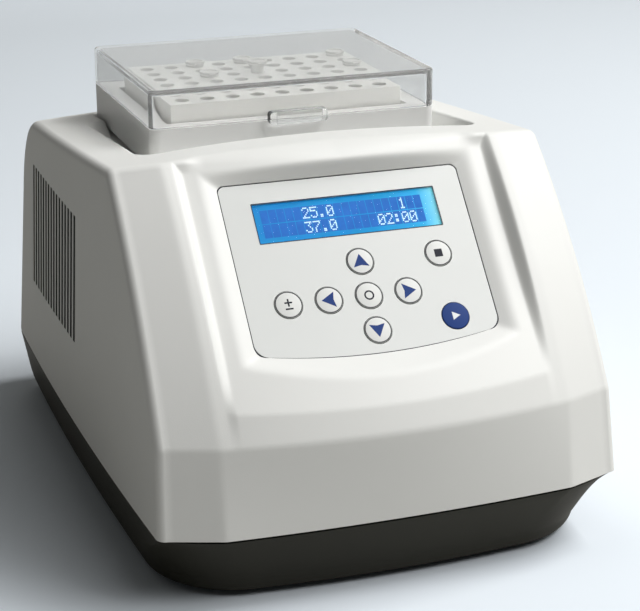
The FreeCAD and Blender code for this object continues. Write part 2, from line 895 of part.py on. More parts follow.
def panel_recess():
    """The sunk place of the overlay, with bevels out to the fascia."""
    gap = size("overlay_clearance")
    rise = 10.0
    side = gap + rise / math.tan(math.radians(size("bevel_side_angle")))
    top = gap + rise / math.tan(math.radians(size("bevel_top_angle")))
    bottom = gap + rise / math.tan(math.radians(size("bevel_bottom_angle")))
    seat = overlay_wire(-size("overlay_thickness"), gap, gap, gap, 0)
    lip = overlay_wire(0, gap, gap, gap, 0)
    brim = overlay_wire(rise, side, top, bottom, 6)
    return panel_frame(loft([seat, lip, brim], True))


def panel_holes():
    """The window and key openings through the panel's wall."""
    deep = size("panel_back") + past
    gap = 2 * size("window_wall_gap")
    opening = block_at(size("window_width") + gap, size("window_height") + gap, -deep, 1)
    holes = [opening]
    for label, across, up in KEYS:
        x, rise = key_spot(across, up)
        holes.append(bar_at(size("key_hole"), deep + 1, x, rise, -deep))
    return [panel_frame(hole) for hole in holes]


def panel_spots():
    """Places and lengths of the posts behind the panel that its two boards are screwed to."""
    for side in (-1, 1):
        for rise in (-1, 1):
            up = size("board_middle") + rise * size("board_post_up")
            yield side * size("board_post_x"), up, size("board_gap")
            yield side * size("display_post_x"), rise * size("display_post_up"), size("display_depth")


def panel_posts():
    back = size("panel_back")
    posts = [bar_at(size("board_post_diameter"), length + 1, x, up, -back - length)
             for x, up, length in panel_spots()]
    return [panel_frame(post) for post in posts]


def panel_pilots():
    back = size("panel_back")
    pilots = [bar_at(size("board_pilot"), size("board_pilot_depth"), x, up, -back - length)
              for x, up, length in panel_spots()]
    return [panel_frame(pilot) for pilot in pilots]


def case_spots():
    for x in (-size("boss_x"), size("boss_x")):
        for y in (-size("boss_front"), size("boss_rear")):
            yield x, y


def upper_housing():
    full = soft_sides(shell_solid().Solids[0])
    hollow = shell_solid(wall, seam_z - 1).cut(tray_recess(wall))
    boss_top = size("boss_top")
    bosses = []
    for x, y in case_spots():
        side = math.copysign(1, x)
        bosses.append(bar_at(size("boss_diameter"), boss_top - seam_z, x, y, seam_z))
        reach = size("body_width") / 2 - size("boss_x")
        bosses.append(block_at(reach, size("rib_thickness"), seam_z, boss_top, x + side * reach / 2, y))
    frame_depth = size("rear_frame_depth")
    frame_y = size("rear_plate_y") + frame_depth / 2
    lap = size("rear_plate_lap")
    plate = (size("rear_plate_width"), size("rear_plate_height"))
    low = size("rear_plate_bottom")
    bosses.append(block_at(plate[0], frame_depth, low, low + plate[1], 0, frame_y))
    inside = full.common(bosses[0].fuse(bosses[1:] + panel_posts()))
    shell = full.cut(hollow).fuse(inside)
    tools = [tray_recess(0), panel_recess()]
    tools.append(block_at(size("neck_width"), size("neck_depth"), size("shelf_bottom") - past, size("rim_height"),
                          0, size("block_y")))
    tools += panel_holes()
    for x, y in case_spots():
        tools.append(bar_at(size("screw_diameter"), boss_top - seam_z - size("boss_roof"), x, y, seam_z))
    tools += panel_pilots()
    tools.append(block_at(plate[0] - 2 * lap, 3 * frame_depth, low + lap, low + plate[1] - lap, 0, frame_y))
    slots = size("slot_count")
    for step in range(int(slots)):
        y = size("slot_y") - size("slot_run") / 2 + step * size("slot_pitch")
        bottom = size("slot_bottom")
        for side in (-1, 1):
            tools.append(block_at(6 * past, size("slot_width"), bottom, bottom + size("slot_height"),
                                  side * size("body_width") / 2, y))
    return shell.cut(tools)


def base_wire(z, inset, front_inset, corner):
    """The lower shell's plan outline: like the seam's with no corner, or with round ones."""
    half = size("body_width") / 2 - inset
    nose = -half_depth + front_inset
    tail = half_depth - inset
    bulge = size("side_bulge")
    rear_corner = size("rear_edge_radius") - inset / 2
    if corner is None:
        first = (ridge_x, nose + size("seam_bulge"))
        sweep = math.tan(math.radians(size("flank_sweep")))
        x = half - bulge * (first[1] / half_depth) ** 2
        last = (x, first[1] + (x - first[0]) * sweep)
        middle = ((first[0] + last[0]) / 2, (first[1] + last[1]) / 2 - 0.01)
    else:
        first = (half - corner, nose + size("seam_bulge"))
        last = (half - bulge / 2, first[1] + corner)
        nip = corner * (1 - math.sqrt(0.5))
        middle = (last[0] - nip, first[1] + nip)
    side = (half, (last[1] + tail - rear_corner) / 2)
    heel = (half - bulge * ((tail - rear_corner) / half_depth) ** 2, tail - rear_corner)
    nip = rear_corner * (1 - math.sqrt(0.5))
    turn = (heel[0] - nip, tail - nip)
    end = (heel[0] - rear_corner, tail)

    def at(point, hand):
        return V(hand * point[0], point[1], z)

    edges = [Part.Arc(at(first, -1), V(0, nose, z), at(first, 1))]
    edges.append(Part.Arc(at(first, 1), at(middle, 1), at(last, 1)))
    edges.append(Part.Arc(at(last, 1), at(side, 1), at(heel, 1)))
    edges.append(Part.Arc(at(heel, 1), at(turn, 1), at(end, 1)))
    edges.append(Part.LineSegment(at(end, 1), at(end, -1)))
    edges.append(Part.Arc(at(end, -1), at(turn, -1), at(heel, -1)))
    edges.append(Part.Arc(at(heel, -1), at(side, -1), at(last, -1)))
    edges.append(Part.Arc(at(last, -1), at(middle, -1), at(first, -1)))
    return Part.Wire([edge.toShape() for edge in edges])


def lower_housing():
    foot = size("foot_height")
    edge_top = foot + size("base_edge")
    taper = size("base_taper")
    front_taper = size("base_front_taper")
    edge_inset = size("base_edge_inset")
    corner = size("base_corner")

    def hull(inset, bottom, top):
        wires = [
            base_wire(top, inset, inset, None),
            base_wire(edge_top, taper + inset, front_taper + inset, corner),
            base_wire(bottom, taper + edge_inset + inset, front_taper + edge_inset + inset, corner),
        ]
        return loft(wires, True)

    shell = hull(0, foot, seam_z).cut(hull(wall, size("floor_top"), seam_z + 0.01))
    posts = []
    for x, y in case_spots():
        posts.append(bar_at(size("boss_diameter"), seam_z - foot, x, y, foot))
    for x in (-size("supply_post_x"), size("supply_post_x")):
        for y in (-size("supply_post_y"), size("supply_post_y")):
            posts.append(bar_at(size("supply_post_diameter"), size("supply_bottom") - foot, x,
                                y - size("supply_y"), foot))
    for x, y in foot_spots():
        posts.append(bar_at(size("foot_boss_diameter"), size("foot_boss_height"), x, y, foot))
    shell = shell.fuse(hull(0, foot, seam_z).common(posts[0].fuse(posts[1:])))
    tools = []
    for x, y in case_spots():
        tools.append(bar_at(size("screw_diameter"), seam_z, x, y, foot - 1))
        tools.append(bar_at(size("screw_head"), size("head_recess"), x, y, foot - 0.01))
    for x, y in foot_spots():
        tools.append(bar_at(size("screw_diameter"), size("foot_pilot_depth"), x, y, foot - 0.01))
    for x in (-size("supply_post_x"), size("supply_post_x")):
        for y in (-size("supply_post_y"), size("supply_post_y")):
            depth = size("supply_pilot_depth")
            tools.append(bar_at(size("board_pilot"), depth, x, y - size("supply_y"), size("supply_bottom") - depth))
    count = int(size("floor_slots"))
    for step in range(count):
        x = (step - (count - 1) / 2) * size("floor_slot_pitch")
        tools.append(block_at(size("slot_width"), size("floor_slot_length"), foot - 1, size("floor_top") + 1, x,
                              size("block_y")))
    return shell.cut(tools)


def foot_spots():
    for x in (-size("foot_x"), size("foot_x")):
        for y in (-size("foot_front"), size("foot_rear")):
            yield x, y


top_housing = node("top_housing", feature("top_housing", upper_housing()))
base_housing = node("base_housing", feature("base_housing", lower_housing()))


# Front panel: overlay, window, display, keys and the boards behind them
overlay_sheet = Part.Face(overlay_wire(-size("overlay_thickness"), 0, 0, 0, 0))
overlay_sheet = overlay_sheet.extrude(V(0, 0, size("overlay_thickness")))
overlay_tools = [panel_box("overlay_window", "window_width + 2 * window_gap", "window_height + 2 * window_gap",
                           "4 * overlay_thickness", "0", "0", "-2 * overlay_thickness")]
for label, across, up in KEYS:
    overlay_tools.append(panel_cylinder(label + "_overlay_hole", "key_hole", "4 * overlay_thickness", across, up,
                                        "-2 * overlay_thickness"))
overlay_blank = feature("overlay_blank", panel_frame(overlay_sheet))
node("front_overlay", cut("front_overlay", overlay_blank, *overlay_tools))
node("lcd_window", panel_box("lcd_window", "window_width", "window_height", "overlay_thickness", "0", "0",
                             "-overlay_thickness"))

glass_out = "panel_back + display_depth"
display_board = panel_box("display_board", "display_width", "display_height", "board_thickness", "0", "0",
                          "-(%s) - board_thickness" % glass_out)
display_bezel = panel_box("display_bezel", "window_width + 2 * bezel_side", "window_height + 2 * bezel_top",
                          "display_depth - display_play", "0", "0", "-(%s)" % glass_out)
display_glass = panel_box("display_glass", "window_width", "window_height",
                          "%s - overlay_thickness - glass_play" % glass_out, "0", "0", "-(%s)" % glass_out)
display_holes = []
board_holes = []
screws = []


def board_screw(name, x, up, out):
    head = panel_cylinder(name + "_head", "board_screw_head", "board_screw_head_height", x, up,
                          "%s - board_thickness - board_screw_head_height" % out)
    shank = panel_cylinder(name + "_shank", "board_screw_diameter", "board_thickness + board_screw_reach", x, up,
                           "%s - board_thickness" % out)
    return fuse(name, head, shank)


for step, (x, up) in enumerate([(1, 1), (1, -1), (-1, 1), (-1, -1)]):
    spot = ("%d * display_post_x" % x, "%d * display_post_up" % up)
    display_holes.append(panel_cylinder("display_hole_%d" % step, "board_hole", "3 * board_thickness", *spot,
                                        "-(%s) - 2 * board_thickness" % glass_out))
    screws.append(board_screw("display_screw_%d" % step, *spot, "-(%s)" % glass_out))
    spot = ("%d * board_post_x" % x, "board_middle + %d * board_post_up" % up)
    board_holes.append(panel_cylinder("board_hole_%d" % step, "board_hole", "3 * board_thickness", *spot,
                                      "-board_top - 2 * board_thickness"))
    screws.append(board_screw("control_screw_%d" % step, *spot, "-board_top"))
display_front = fuse("display_front", display_bezel, display_glass)
display_plate = cut("display_plate", display_board, *display_holes)
node("lcd_module", fuse("lcd_module", display_plate, display_front))
control_blank = panel_box("control_blank", "board_width", "board_height", "board_thickness", "0", "board_middle",
                          "-board_top - board_thickness")
node("control_board", cut("control_board", control_blank, *board_holes))
node("board_screws", group("board_screws", screws))

switches = []
for label, across, up in KEYS:
    block = panel_box(label + "_switch_block", "switch_side", "switch_side", "switch_thickness", across, up,
                      "-board_top")
    plunger = panel_cylinder(label + "_plunger", "switch_plunger", "switch_thickness + plunger_length", across, up,
                             "-board_top")
    switches.append(fuse(label + "_switch", block, plunger))
node("key_switches", group("key_switches", switches))

for label, across, up in KEYS:
    key = doc.addObject("PartDesign::Body", label + "_body")
    on_panel(key, across, up, "key_rise")
    cap_depth = "key_rise + panel_back + key_slack"
    flange_depth = "%s + key_flange_thickness" % cap_depth
    cap = sketch(key, label + "_cap")
    circle(cap, "key_diameter")
    pad(key, label + "_cap_pad", cap, cap_depth, down=True)
    flange = sketch(key, label + "_flange", out="-(%s)" % cap_depth)
    circle(flange, "flange_diameter")
    pad(key, label + "_flange_pad", flange, "key_flange_thickness", down=True)
    stem = sketch(key, label + "_stem", out="-(%s)" % flange_depth)
    circle(stem, "key_stem_diameter")
    pad(key, label + "_stem_pad", stem, "key_stem_length", down=True)
    round_edges(key, label + "_edge", "key_edge_radius",
                lambda edge: edge.Curve.TypeId == "Part::GeomCircle" and abs(edge.BoundBox.ZMax) < 1e-4)
    node(label, key)

# Clear lid with its grip, on a rear hinge
lid = body("lid_shell", "0", "collar_y", "lid_bottom")
lid_plan = sketch(lid, "lid_plan")
rectangle(lid_plan, "lid_width", "lid_depth")
pad(lid, "lid_pad", lid_plan, "lid_height")
round_edges(lid, "lid_corners", "lid_corner", upright)
lid_inside = sketch(lid, "lid_inside")
rectangle(lid_inside, "lid_width - 2 * lid_wall", "lid_depth - 2 * lid_wall")
pocket(lid, "lid_hollow", lid_inside, "lid_height - lid_wall", up=True)
lid_top = size("lid_height")
round_edges(lid, "lid_top_edge", "lid_edge_radius", lambda edge: edge.BoundBox.ZMin > lid_top - 1e-4)


def hinge_bar(name, diameter, width, x):
    """A round bar along the hinge line, centred on x."""
    return cylinder(name, diameter, width, "%s - (%s) / 2" % (x, width), "hinge_y", "rim_height", "x")


lugs = []
bores = []
brackets = []
pins = []
for side, word in ((-1, "left"), (1, "right")):
    x = "%d * hinge_offset" % side
    lugs.append(hinge_bar(word + "_knuckle", "hinge_knuckle_diameter", "hinge_lug_width", x))
    lugs.append(box(word + "_arm", "hinge_lug_width", "hinge_back + hinge_plate",
                    "hinge_knuckle_diameter / 2 - hinge_arm_rise", x, "hinge_y - (hinge_back + hinge_plate) / 2",
                    "rim_height + hinge_arm_rise"))
    bores.append(hinge_bar(word + "_bore", "hinge_pin_diameter + 2 * hinge_pin_gap", "2 * hinge_lug_width", x))
    bracket_width = "hinge_lug_width + 2 * hinge_side_gap + 2 * hinge_ear_width"
    foot = box(word + "_bracket_foot", bracket_width, "hinge_plate", "hinge_foot", x,
               "collar_rear + hinge_plate / 2", "rim_height - hinge_foot")
    ears = hinge_bar(word + "_ears", "hinge_knuckle_diameter", bracket_width, x)
    web = box(word + "_web", bracket_width, "hinge_back", "hinge_foot / 2", x, "collar_rear + hinge_back / 2",
              "rim_height - hinge_foot / 2")
    slot = box(word + "_slot", "hinge_lug_width + 2 * hinge_side_gap", "2 * hinge_knuckle_diameter",
               "2 * hinge_foot", x, "collar_rear + hinge_plate + hinge_knuckle_diameter", "rim_height - hinge_foot")
    eye = hinge_bar(word + "_eye", "hinge_pin_diameter", "2 * (%s)" % bracket_width, x)
    ears_cut = cut(word + "_ears_cut", fuse(word + "_ears_web", ears, web), slot, eye)
    brackets.append(fuse(word + "_bracket", ears_cut, foot))
    pins.append(hinge_bar(word + "_pin", "hinge_pin_diameter", bracket_width, x))
node("clear_lid", cut("clear_lid", fuse("lid_with_lugs", lid, *lugs), *bores))
node("hinge_brackets", group("hinge_brackets", brackets))
node("lid_hinge_pins", group("lid_hinge_pins", pins))

grip_upper = box("grip_upper", "grip_width", "grip_depth", "grip_height - grip_below - lid_gap", "0",
                 "collar_front - grip_depth / 2", "lid_bottom")
grip_lower = box("grip_lower", "grip_width", "grip_depth - grip_step", "grip_height / 2", "0",
                 "collar_front - (grip_depth + grip_step) / 2", "grip_bottom")
node("lid_grip", fuse("lid_grip", grip_upper, grip_lower))

# Collar round the block, with a skirt that stands on the heat sink
collar = body("block_collar_body", "0", "collar_y", "collar_bottom")
collar_plan = sketch(collar, "collar_plan")
rectangle(collar_plan, "lid_width", "lid_depth")
pad(collar, "collar_pad", collar_plan, "collar_height")
round_edges(collar, "collar_corners", "lid_corner", upright)
collar_inside = sketch(collar, "collar_inside")
rectangle(collar_inside, "lid_width - 2 * collar_wall", "lid_depth - 2 * collar_wall")
pocket(collar, "collar_hollow", collar_inside, "collar_height - collar_wall", up=True)
skirt_plan = sketch(collar, "skirt_plan", out="collar_height - collar_wall")
rectangle(skirt_plan, "skirt_width", "skirt_depth", "0", "-block_forward")
pad(collar, "skirt_pad", skirt_plan, "collar_bottom + collar_height - collar_wall - sink_top", down=True)
mouth_plan = sketch(collar, "mouth_plan", out="collar_height")
rectangle(mouth_plan, "well_mouth_width", "well_mouth_depth", "0", "-block_forward")
pocket(collar, "mouth", mouth_plan, "rim_height - sink_top")
node("block_collar", collar)

# Drilled block and what stands in it
block = body("heating_block_body", "0", "block_y", "block_bottom")
block_plan = sketch(block, "block_plan")
rectangle(block_plan, "block_width", "block_depth")
pad(block, "block_pad", block_plan, "block_height")
well_plan = sketch(block, "well_plan", out="block_height")
circle(well_plan, "well_diameter", "-column_run / 2", "-row_run / 2")
wells = pocket(block, "wells", well_plan, "well_depth")
grid = block.newObject("PartDesign::MultiTransform", "well_grid")
across = block.newObject("PartDesign::LinearPattern", "well_row")
across.Direction = (well_plan, ["H_Axis"])
bind(across, Length="column_run", Occurrences="well_columns")
along = block.newObject("PartDesign::LinearPattern", "well_column")
along.Direction = (well_plan, ["V_Axis"])
bind(along, Length="row_run", Occurrences="well_rows")
grid.Originals = [wells]
grid.Transformations = [across, along]
block.Tip = grid
doc.recompute()
sensor_end = "block_y + block_depth / 2 - sensor_depth"
sensor_bore = cylinder("sensor_bore", "sensor_diameter + 2 * sensor_gap", "sensor_depth", "0", sensor_end,
                       "block_bottom + sensor_height", "y")
node("heating_block", cut("heating_block", block, sensor_bore))
node("temperature_sensor", cylinder("temperature_sensor", "sensor_diameter", "sensor_depth - 2 * sensor_gap", "0",
                                    sensor_end + " + sensor_gap", "block_bottom + sensor_height", "y"))

TUBES = [(2, 3), (4, 3), (8, 3), (2, 5), (4, 5), (8, 5)]
tubes = []
for column, row in TUBES:
    name = "tube_%d_%d" % (column, row)
    x = "%d * well_pitch - column_run / 2" % column
    y = "block_y + %d * well_pitch - row_run / 2" % row
    stem = cylinder(name + "_stem", "well_diameter - 2 * tube_gap", "tube_stem_length", x, y,
                    "block_top - tube_stem_length")
    point = doc.addObject("Part::Cone", name + "_point")
    bind(point, Radius1="tube_point_diameter / 2", Radius2="well_diameter / 2 - tube_gap",
         Height="tube_point_length")
    place(point, x, y, "block_top - tube_stem_length - tube_point_length")
    cap = cylinder(name + "_cap", "tube_cap_diameter", "tube_cap_height", x, y, "block_top")
    tubes.append(fuse(name, stem, point, cap))
node("sample_tubes", group("sample_tubes", tubes))

foam_outer = box("foam_outer", "well_mouth_width - 2 * foam_gap", "well_mouth_depth - 2 * foam_gap",
                 "rim_height - foam_drop - sink_top", "0", "block_y", "sink_top")
foam_inner = box("foam_inner", "block_width + 2 * foam_gap", "block_depth + 2 * foam_gap",
                 "2 * (rim_height - sink_top)", "0", "block_y", "sink_top - foam_drop")
node("insulation_frame", cut("insulation_frame", foam_outer, foam_inner))

# Heat pump under the block: spreader, modules, finned sink and fan
node("heat_spreader", box("heat_spreader", "block_width - 2 * spreader_inset", "block_depth - 2 * spreader_inset",
                          "spreader_thickness", "0", "block_y", "spreader_bottom"))
modules = []
for side in (-1, 1):
    modules.append(box("module_%s" % ("left" if side < 0 else "right"), "module_side", "module_side",
                       "module_thickness", "%d * module_spacing / 2" % side, "block_y", "sink_top"))
node("peltier_modules", group("peltier_modules", modules))

sink = body("heat_sink_body", "0", "block_y", "fin_bottom")
sink_plan = sketch(sink, "sink_plan", out="fin_height")
rectangle(sink_plan, "sink_width", "sink_depth")
pad(sink, "sink_pad", sink_plan, "sink_plate")
fin_plan = sketch(sink, "fin_plan")
rectangle(fin_plan, "sink_width", "fin_thickness", "0", "-fin_run / 2")
fin = pad(sink, "fin", fin_plan, "fin_height")
fins = sink.newObject("PartDesign::LinearPattern", "fins")
fins.Originals = [fin]
fins.Direction = (fin_plan, ["V_Axis"])
bind(fins, Length="fin_run", Occurrences="fin_count")
sink.Tip = fins
doc.recompute()
node("heat_sink", sink)

columns = []
for step, (x, y) in enumerate([(1, 1), (1, -1), (-1, 1), (-1, -1)]):
    columns.append(cylinder("post_%d" % step, "post_diameter", "post_height", "%d * post_x" % x,
                            "block_y + %d * post_y" % y, "sink_top"))
node("module_posts", group("module_posts", columns))
node("thermal_cutout", box("thermal_cutout", "cutout_width", "cutout_depth", "cutout_height", "0",
                           "block_y - sink_depth / 2 + cutout_inset + cutout_depth / 2", "sink_top"))

fan = body("fan_frame_body", "0", "block_y", "fan_bottom")
fan_plan = sketch(fan, "fan_plan")
rectangle(fan_plan, "fan_side", "fan_side")
circle(fan_plan, "fan_bore")
pad(fan, "fan_pad", fan_plan, "fan_thickness")
fan_holes = sketch(fan, "fan_holes", out="fan_thickness")
for x, y in ((1, 1), (1, -1), (-1, 1), (-1, -1)):
    circle(fan_holes, "fan_hole_diameter", "%d * fan_hole_spacing / 2" % x, "%d * fan_hole_spacing / 2" % y)
pocket(fan, "fan_hole_pocket", fan_holes, "fan_thickness")
strut_length = "(fan_bore + fan_side) / 2"
for word, width, depth in (("wide", strut_length, "strut_width"), ("deep", "strut_width", strut_length)):
    strut_plan = sketch(fan, "strut_%s" % word)
    rectangle(strut_plan, width, depth)
    pad(fan, "strut_%s_pad" % word, strut_plan, "strut_height")
hub_plan = sketch(fan, "hub_plan")
circle(hub_plan, "hub_diameter")
pad(fan, "hub_pad", hub_plan, "strut_height")
node("fan_frame", fan)


def rotor_shape():
    """Hub and twisted blades of the fan, about its own axis."""
    hub = size("hub_diameter") / 2
    tip = size("fan_bore") / 2 - size("fan_tip_gap")
    low = size("strut_height") + size("rotor_gap")
    shape = bar_at(2 * hub, size("hub_height"), 0, 0, low)
    middle = low + size("hub_height") / 2
    chord = size("blade_chord")
    thick = size("blade_thickness")
    count = int(size("blade_count"))
    blades = []
    for step in range(count):
        wires = []
        for radius, angle in ((hub - thick, size("blade_root_angle")), (tip, size("blade_tip_angle"))):
            run = math.cos(math.radians(angle)) * chord / 2
            rise = math.sin(math.radians(angle)) * chord / 2
            corners = [
                V(radius, -run, middle - rise),
                V(radius, run, middle + rise),
                V(radius, run, middle + rise + thick),
                V(radius, -run, middle - rise + thick),
            ]
            wires.append(Part.makePolygon(corners + corners[:1]))
        blade = loft(wires, True)
        blade.rotate(V(), V(0, 0, 1), 360.0 * step / count)
        blades.append(blade)
    shape = shape.fuse(blades)
    rim = bar_at(2 * tip, size("fan_thickness"), 0, 0, 0)
    return shape.common(rim)


rotor = feature("fan_rotor", rotor_shape())
place(rotor, "0", "block_y", "fan_bottom")
node("fan_rotor", rotor)
fan_bolts = []
for step, (x, y) in enumerate([(1, 1), (1, -1), (-1, 1), (-1, -1)]):
    spot = ("%d * fan_hole_spacing / 2" % x, "block_y + %d * fan_hole_spacing / 2" % y)
    head = cylinder("fan_bolt_head_%d" % step, "fan_bolt_head", "fan_bolt_head_height", *spot,
                    "fan_bottom - fan_bolt_head_height")
    shank = cylinder("fan_bolt_shank_%d" % step, "fan_bolt_diameter", "fan_thickness", *spot, "fan_bottom")
    fan_bolts.append(fuse("fan_bolt_%d" % step, head, shank))
node("fan_screws", group("fan_screws", fan_bolts))

# Rear panel with the power inlet, fuse and switch
rear_face = "rear_plate_y"
rear_blank = box("rear_blank", "rear_plate_width", "rear_plate_thickness", "rear_plate_height", "0",
                 "rear_plate_y - rear_plate_thickness / 2", "rear_plate_bottom")
through = "4 * rear_plate_thickness"
inlet_cut = box("inlet_cut", "inlet_width + 2 * cutout_gap", through, "inlet_height + 2 * cutout_gap", "inlet_x",
                rear_face, "rear_plate_middle - inlet_height / 2 - cutout_gap")
switch_cut = box("switch_cut", "switch_width + 2 * cutout_gap", through, "switch_height + 2 * cutout_gap",
                 "-switch_x", rear_face, "rear_plate_middle - switch_height / 2 - cutout_gap")
fuse_cut = cylinder("fuse_cut", "fuse_diameter + 2 * cutout_gap", through, "fuse_x",
                    "rear_plate_y - 2 * rear_plate_thickness", "rear_plate_middle", "y")
node("rear_panel", cut("rear_panel", rear_blank, inlet_cut, switch_cut, fuse_cut))

inlet_flange = box("inlet_flange", "inlet_flange_width", "flange_thickness", "inlet_flange_height", "inlet_x",
                   "rear_plate_y + flange_thickness / 2", "rear_plate_middle - inlet_flange_height / 2")
inlet_block = box("inlet_block", "inlet_width", "inlet_depth + 1", "inlet_height", "inlet_x",
                  "rear_plate_y - (inlet_depth + 1) / 2 + 1", "rear_plate_middle - inlet_height / 2")
socket = box("socket", "inlet_width - 2 * socket_wall", "socket_depth", "inlet_height - 2 * socket_wall", "inlet_x",
             "rear_plate_y + flange_thickness - socket_depth / 2",
             "rear_plate_middle - inlet_height / 2 + socket_wall")
node("mains_inlet", cut("mains_inlet", fuse("inlet_body", inlet_flange, inlet_block), socket))
blades = []
for step, (x, rise) in enumerate([(-1, "-contact_drop"), (0, "earth_rise"), (1, "-contact_drop")]):
    blades.append(box("inlet_blade_%d" % step, "contact_thickness", "socket_depth - contact_setback",
                      "contact_height", "inlet_x + %d * contact_spacing" % x,
                      "rear_plate_y + flange_thickness - (socket_depth + contact_setback) / 2",
                      "rear_plate_middle + %s - contact_height / 2" % rise))
node("inlet_pins", group("inlet_pins", blades))

fuse_cap = cylinder("fuse_cap", "fuse_cap_diameter", "fuse_cap_depth", "fuse_x", rear_face, "rear_plate_middle",
                    "y")
fuse_tube = cylinder("fuse_tube", "fuse_diameter", "fuse_length + 1", "fuse_x", "rear_plate_y - fuse_length",
                     "rear_plate_middle", "y")
fuse_groove = box("fuse_groove", "coin_slot_width", "2 * coin_slot_depth", "coin_slot_height", "fuse_x",
                  "rear_plate_y + fuse_cap_depth", "rear_plate_middle - coin_slot_height / 2")
node("fuse_holder", cut("fuse_holder", fuse("fuse_solid", fuse_cap, fuse_tube), fuse_groove))

rocker_y = "rear_plate_y - rocker_setback"
switch_flange = box("switch_flange_plate", "switch_width + 2 * switch_flange", "flange_thickness / 2",
                    "switch_height + 2 * switch_flange", "-switch_x", "rear_plate_y + flange_thickness / 4",
                    "rear_plate_middle - switch_height / 2 - switch_flange")
switch_block = box("switch_block", "switch_width", "switch_depth + 1", "switch_height", "-switch_x",
                   "rear_plate_y - (switch_depth + 1) / 2 + 1", "rear_plate_middle - switch_height / 2")
rocker_room = box("rocker_room", "switch_width - 2 * switch_wall", "rocker_diameter",
                  "rocker_diameter + 2 * rocker_gap", "-switch_x", "%s - rocker_gap" % rocker_y,
                  "rear_plate_middle - rocker_diameter / 2 - rocker_gap")
node("switch_frame", cut("switch_frame", fuse("switch_solid", switch_flange, switch_block), rocker_room))


def rocker_shape():
    """The rocker about its own pivot: a round back and two front faces that meet in a shallow V."""
    width = size("switch_width") - 2 * size("switch_wall") - 2 * size("rocker_gap")
    radius = size("rocker_diameter") / 2
    shape = bar_at(2 * radius, width, -width / 2, 0, 0, V(1, 0, 0))
    front = size("rocker_setback") + size("rocker_rise")
    for hand in (-1, 1):
        slab = Part.makeBox(width + 2, 4 * radius, 4 * radius, V(-width / 2 - 1, 0, 0 if hand > 0 else -4 * radius))
        slab.rotate(V(), V(1, 0, 0), -hand * size("rocker_angle"))
        slab.translate(V(0, front, 0))
        shape = shape.cut(slab)
    shape.rotate(V(), V(1, 0, 0), size("rocker_angle"))
    return shape


rocker = feature("power_rocker", rocker_shape())
place(rocker, "-switch_x", rocker_y, "rear_plate_middle")
node("power_rocker", rocker)

# Power supply on posts of the base
supply_blank = box("supply_blank", "supply_width", "supply_depth", "board_thickness", "0", "-supply_y",
                   "supply_bottom")
supply_holes = []
supply_bolts = []
for step, (x, y) in enumerate([(1, 1), (1, -1), (-1, 1), (-1, -1)]):
    spot = ("%d * supply_post_x" % x, "%d * supply_post_y - supply_y" % y)
    supply_holes.append(cylinder("supply_hole_%d" % step, "board_hole", "3 * board_thickness", *spot,
                                 "supply_bottom - board_thickness"))
    head = cylinder("supply_bolt_head_%d" % step, "board_screw_head", "supply_bolt_head_height", *spot,
                    "supply_bottom + board_thickness")
    shank = cylinder("supply_bolt_shank_%d" % step, "board_screw_diameter", "supply_bolt_length", *spot,
                     "supply_bottom + board_thickness - supply_bolt_length")
    supply_bolts.append(fuse("supply_bolt_%d" % step, head, shank))
node("power_supply_board", cut("power_supply_board", supply_blank, *supply_holes))
node("supply_screws", group("supply_screws", supply_bolts))
supply_top = "supply_bottom + board_thickness"
winding = box("winding", "winding_width", "winding_depth", "winding_height", "winding_x", "-supply_y", supply_top)
core = box("core", "core_width", "core_depth", "core_height", "winding_x", "-supply_y", "%s + core_rise" % supply_top)
node("supply_transformer", fuse("supply_transformer", winding, core))
cans = []
for side in (-1, 1):
    word = "front" if side < 0 else "rear"
    cans.append(cylinder(word + "_can", "can_diameter", "can_height", "-can_x",
                         "%d * can_spacing / 2 - supply_y" % side, supply_top))
    cans.append(cylinder(word + "_small_can", "small_can_diameter", "small_can_height", "small_can_x",
                         "%d * small_can_spacing / 2 - supply_y" % side, supply_top))
node("supply_capacitors", group("supply_capacitors", cans))
coolers = []
for word, x in (("left", "-left_cooler_x"), ("right", "right_cooler_x")):
    coolers.append(box(word + "_cooler", "cooler_thickness", "cooler_width", "cooler_height", x, "-supply_y",
                       supply_top))
node("supply_coolers", group("supply_coolers", coolers))

# Feet and case screws
feet = []
foot_bolts = []
case_bolts = []
for step, (x, y) in enumerate([(1, "foot_rear"), (1, "-foot_front"), (-1, "foot_rear"), (-1, "-foot_front")]):
    spot = ("%d * foot_x" % x, y)
    disc = cylinder("foot_disc_%d" % step, "foot_diameter", "foot_height", *spot, "0")
    dish = cylinder("foot_dish_%d" % step, "screw_head + 2 * screw_gap", "foot_height - foot_web", *spot, "0")
    eye = cylinder("foot_eye_%d" % step, "screw_diameter", "foot_height", *spot, "0")
    feet.append(cut("foot_%d" % step, disc, dish, eye))
    head = cylinder("foot_bolt_head_%d" % step, "screw_head", "foot_bolt_head_height", *spot,
                    "foot_height - foot_web - foot_bolt_head_height")
    shank = cylinder("foot_bolt_shank_%d" % step, "screw_diameter - 2 * screw_gap", "foot_bolt_length", *spot,
                     "foot_height - foot_web")
    foot_bolts.append(fuse("foot_bolt_%d" % step, head, shank))
node("rubber_feet", group("rubber_feet", feet))
node("foot_screws", group("foot_screws", foot_bolts))
for step, (x, y) in enumerate([(1, "boss_rear"), (1, "-boss_front"), (-1, "boss_rear"), (-1, "-boss_front")]):
    spot = ("%d * boss_x" % x, y)
    head = cylinder("case_bolt_head_%d" % step, "screw_head - 2 * screw_gap", "case_bolt_head_height", *spot,
                    "foot_height + head_recess - case_bolt_head_height")
    shank = cylinder("case_bolt_shank_%d" % step, "screw_diameter - 2 * screw_gap", "case_bolt_length", *spot,
                     "foot_height + head_recess")
    case_bolts.append(fuse("case_bolt_%d" % step, head, shank))
node("case_screws", group("case_screws", case_bolts))

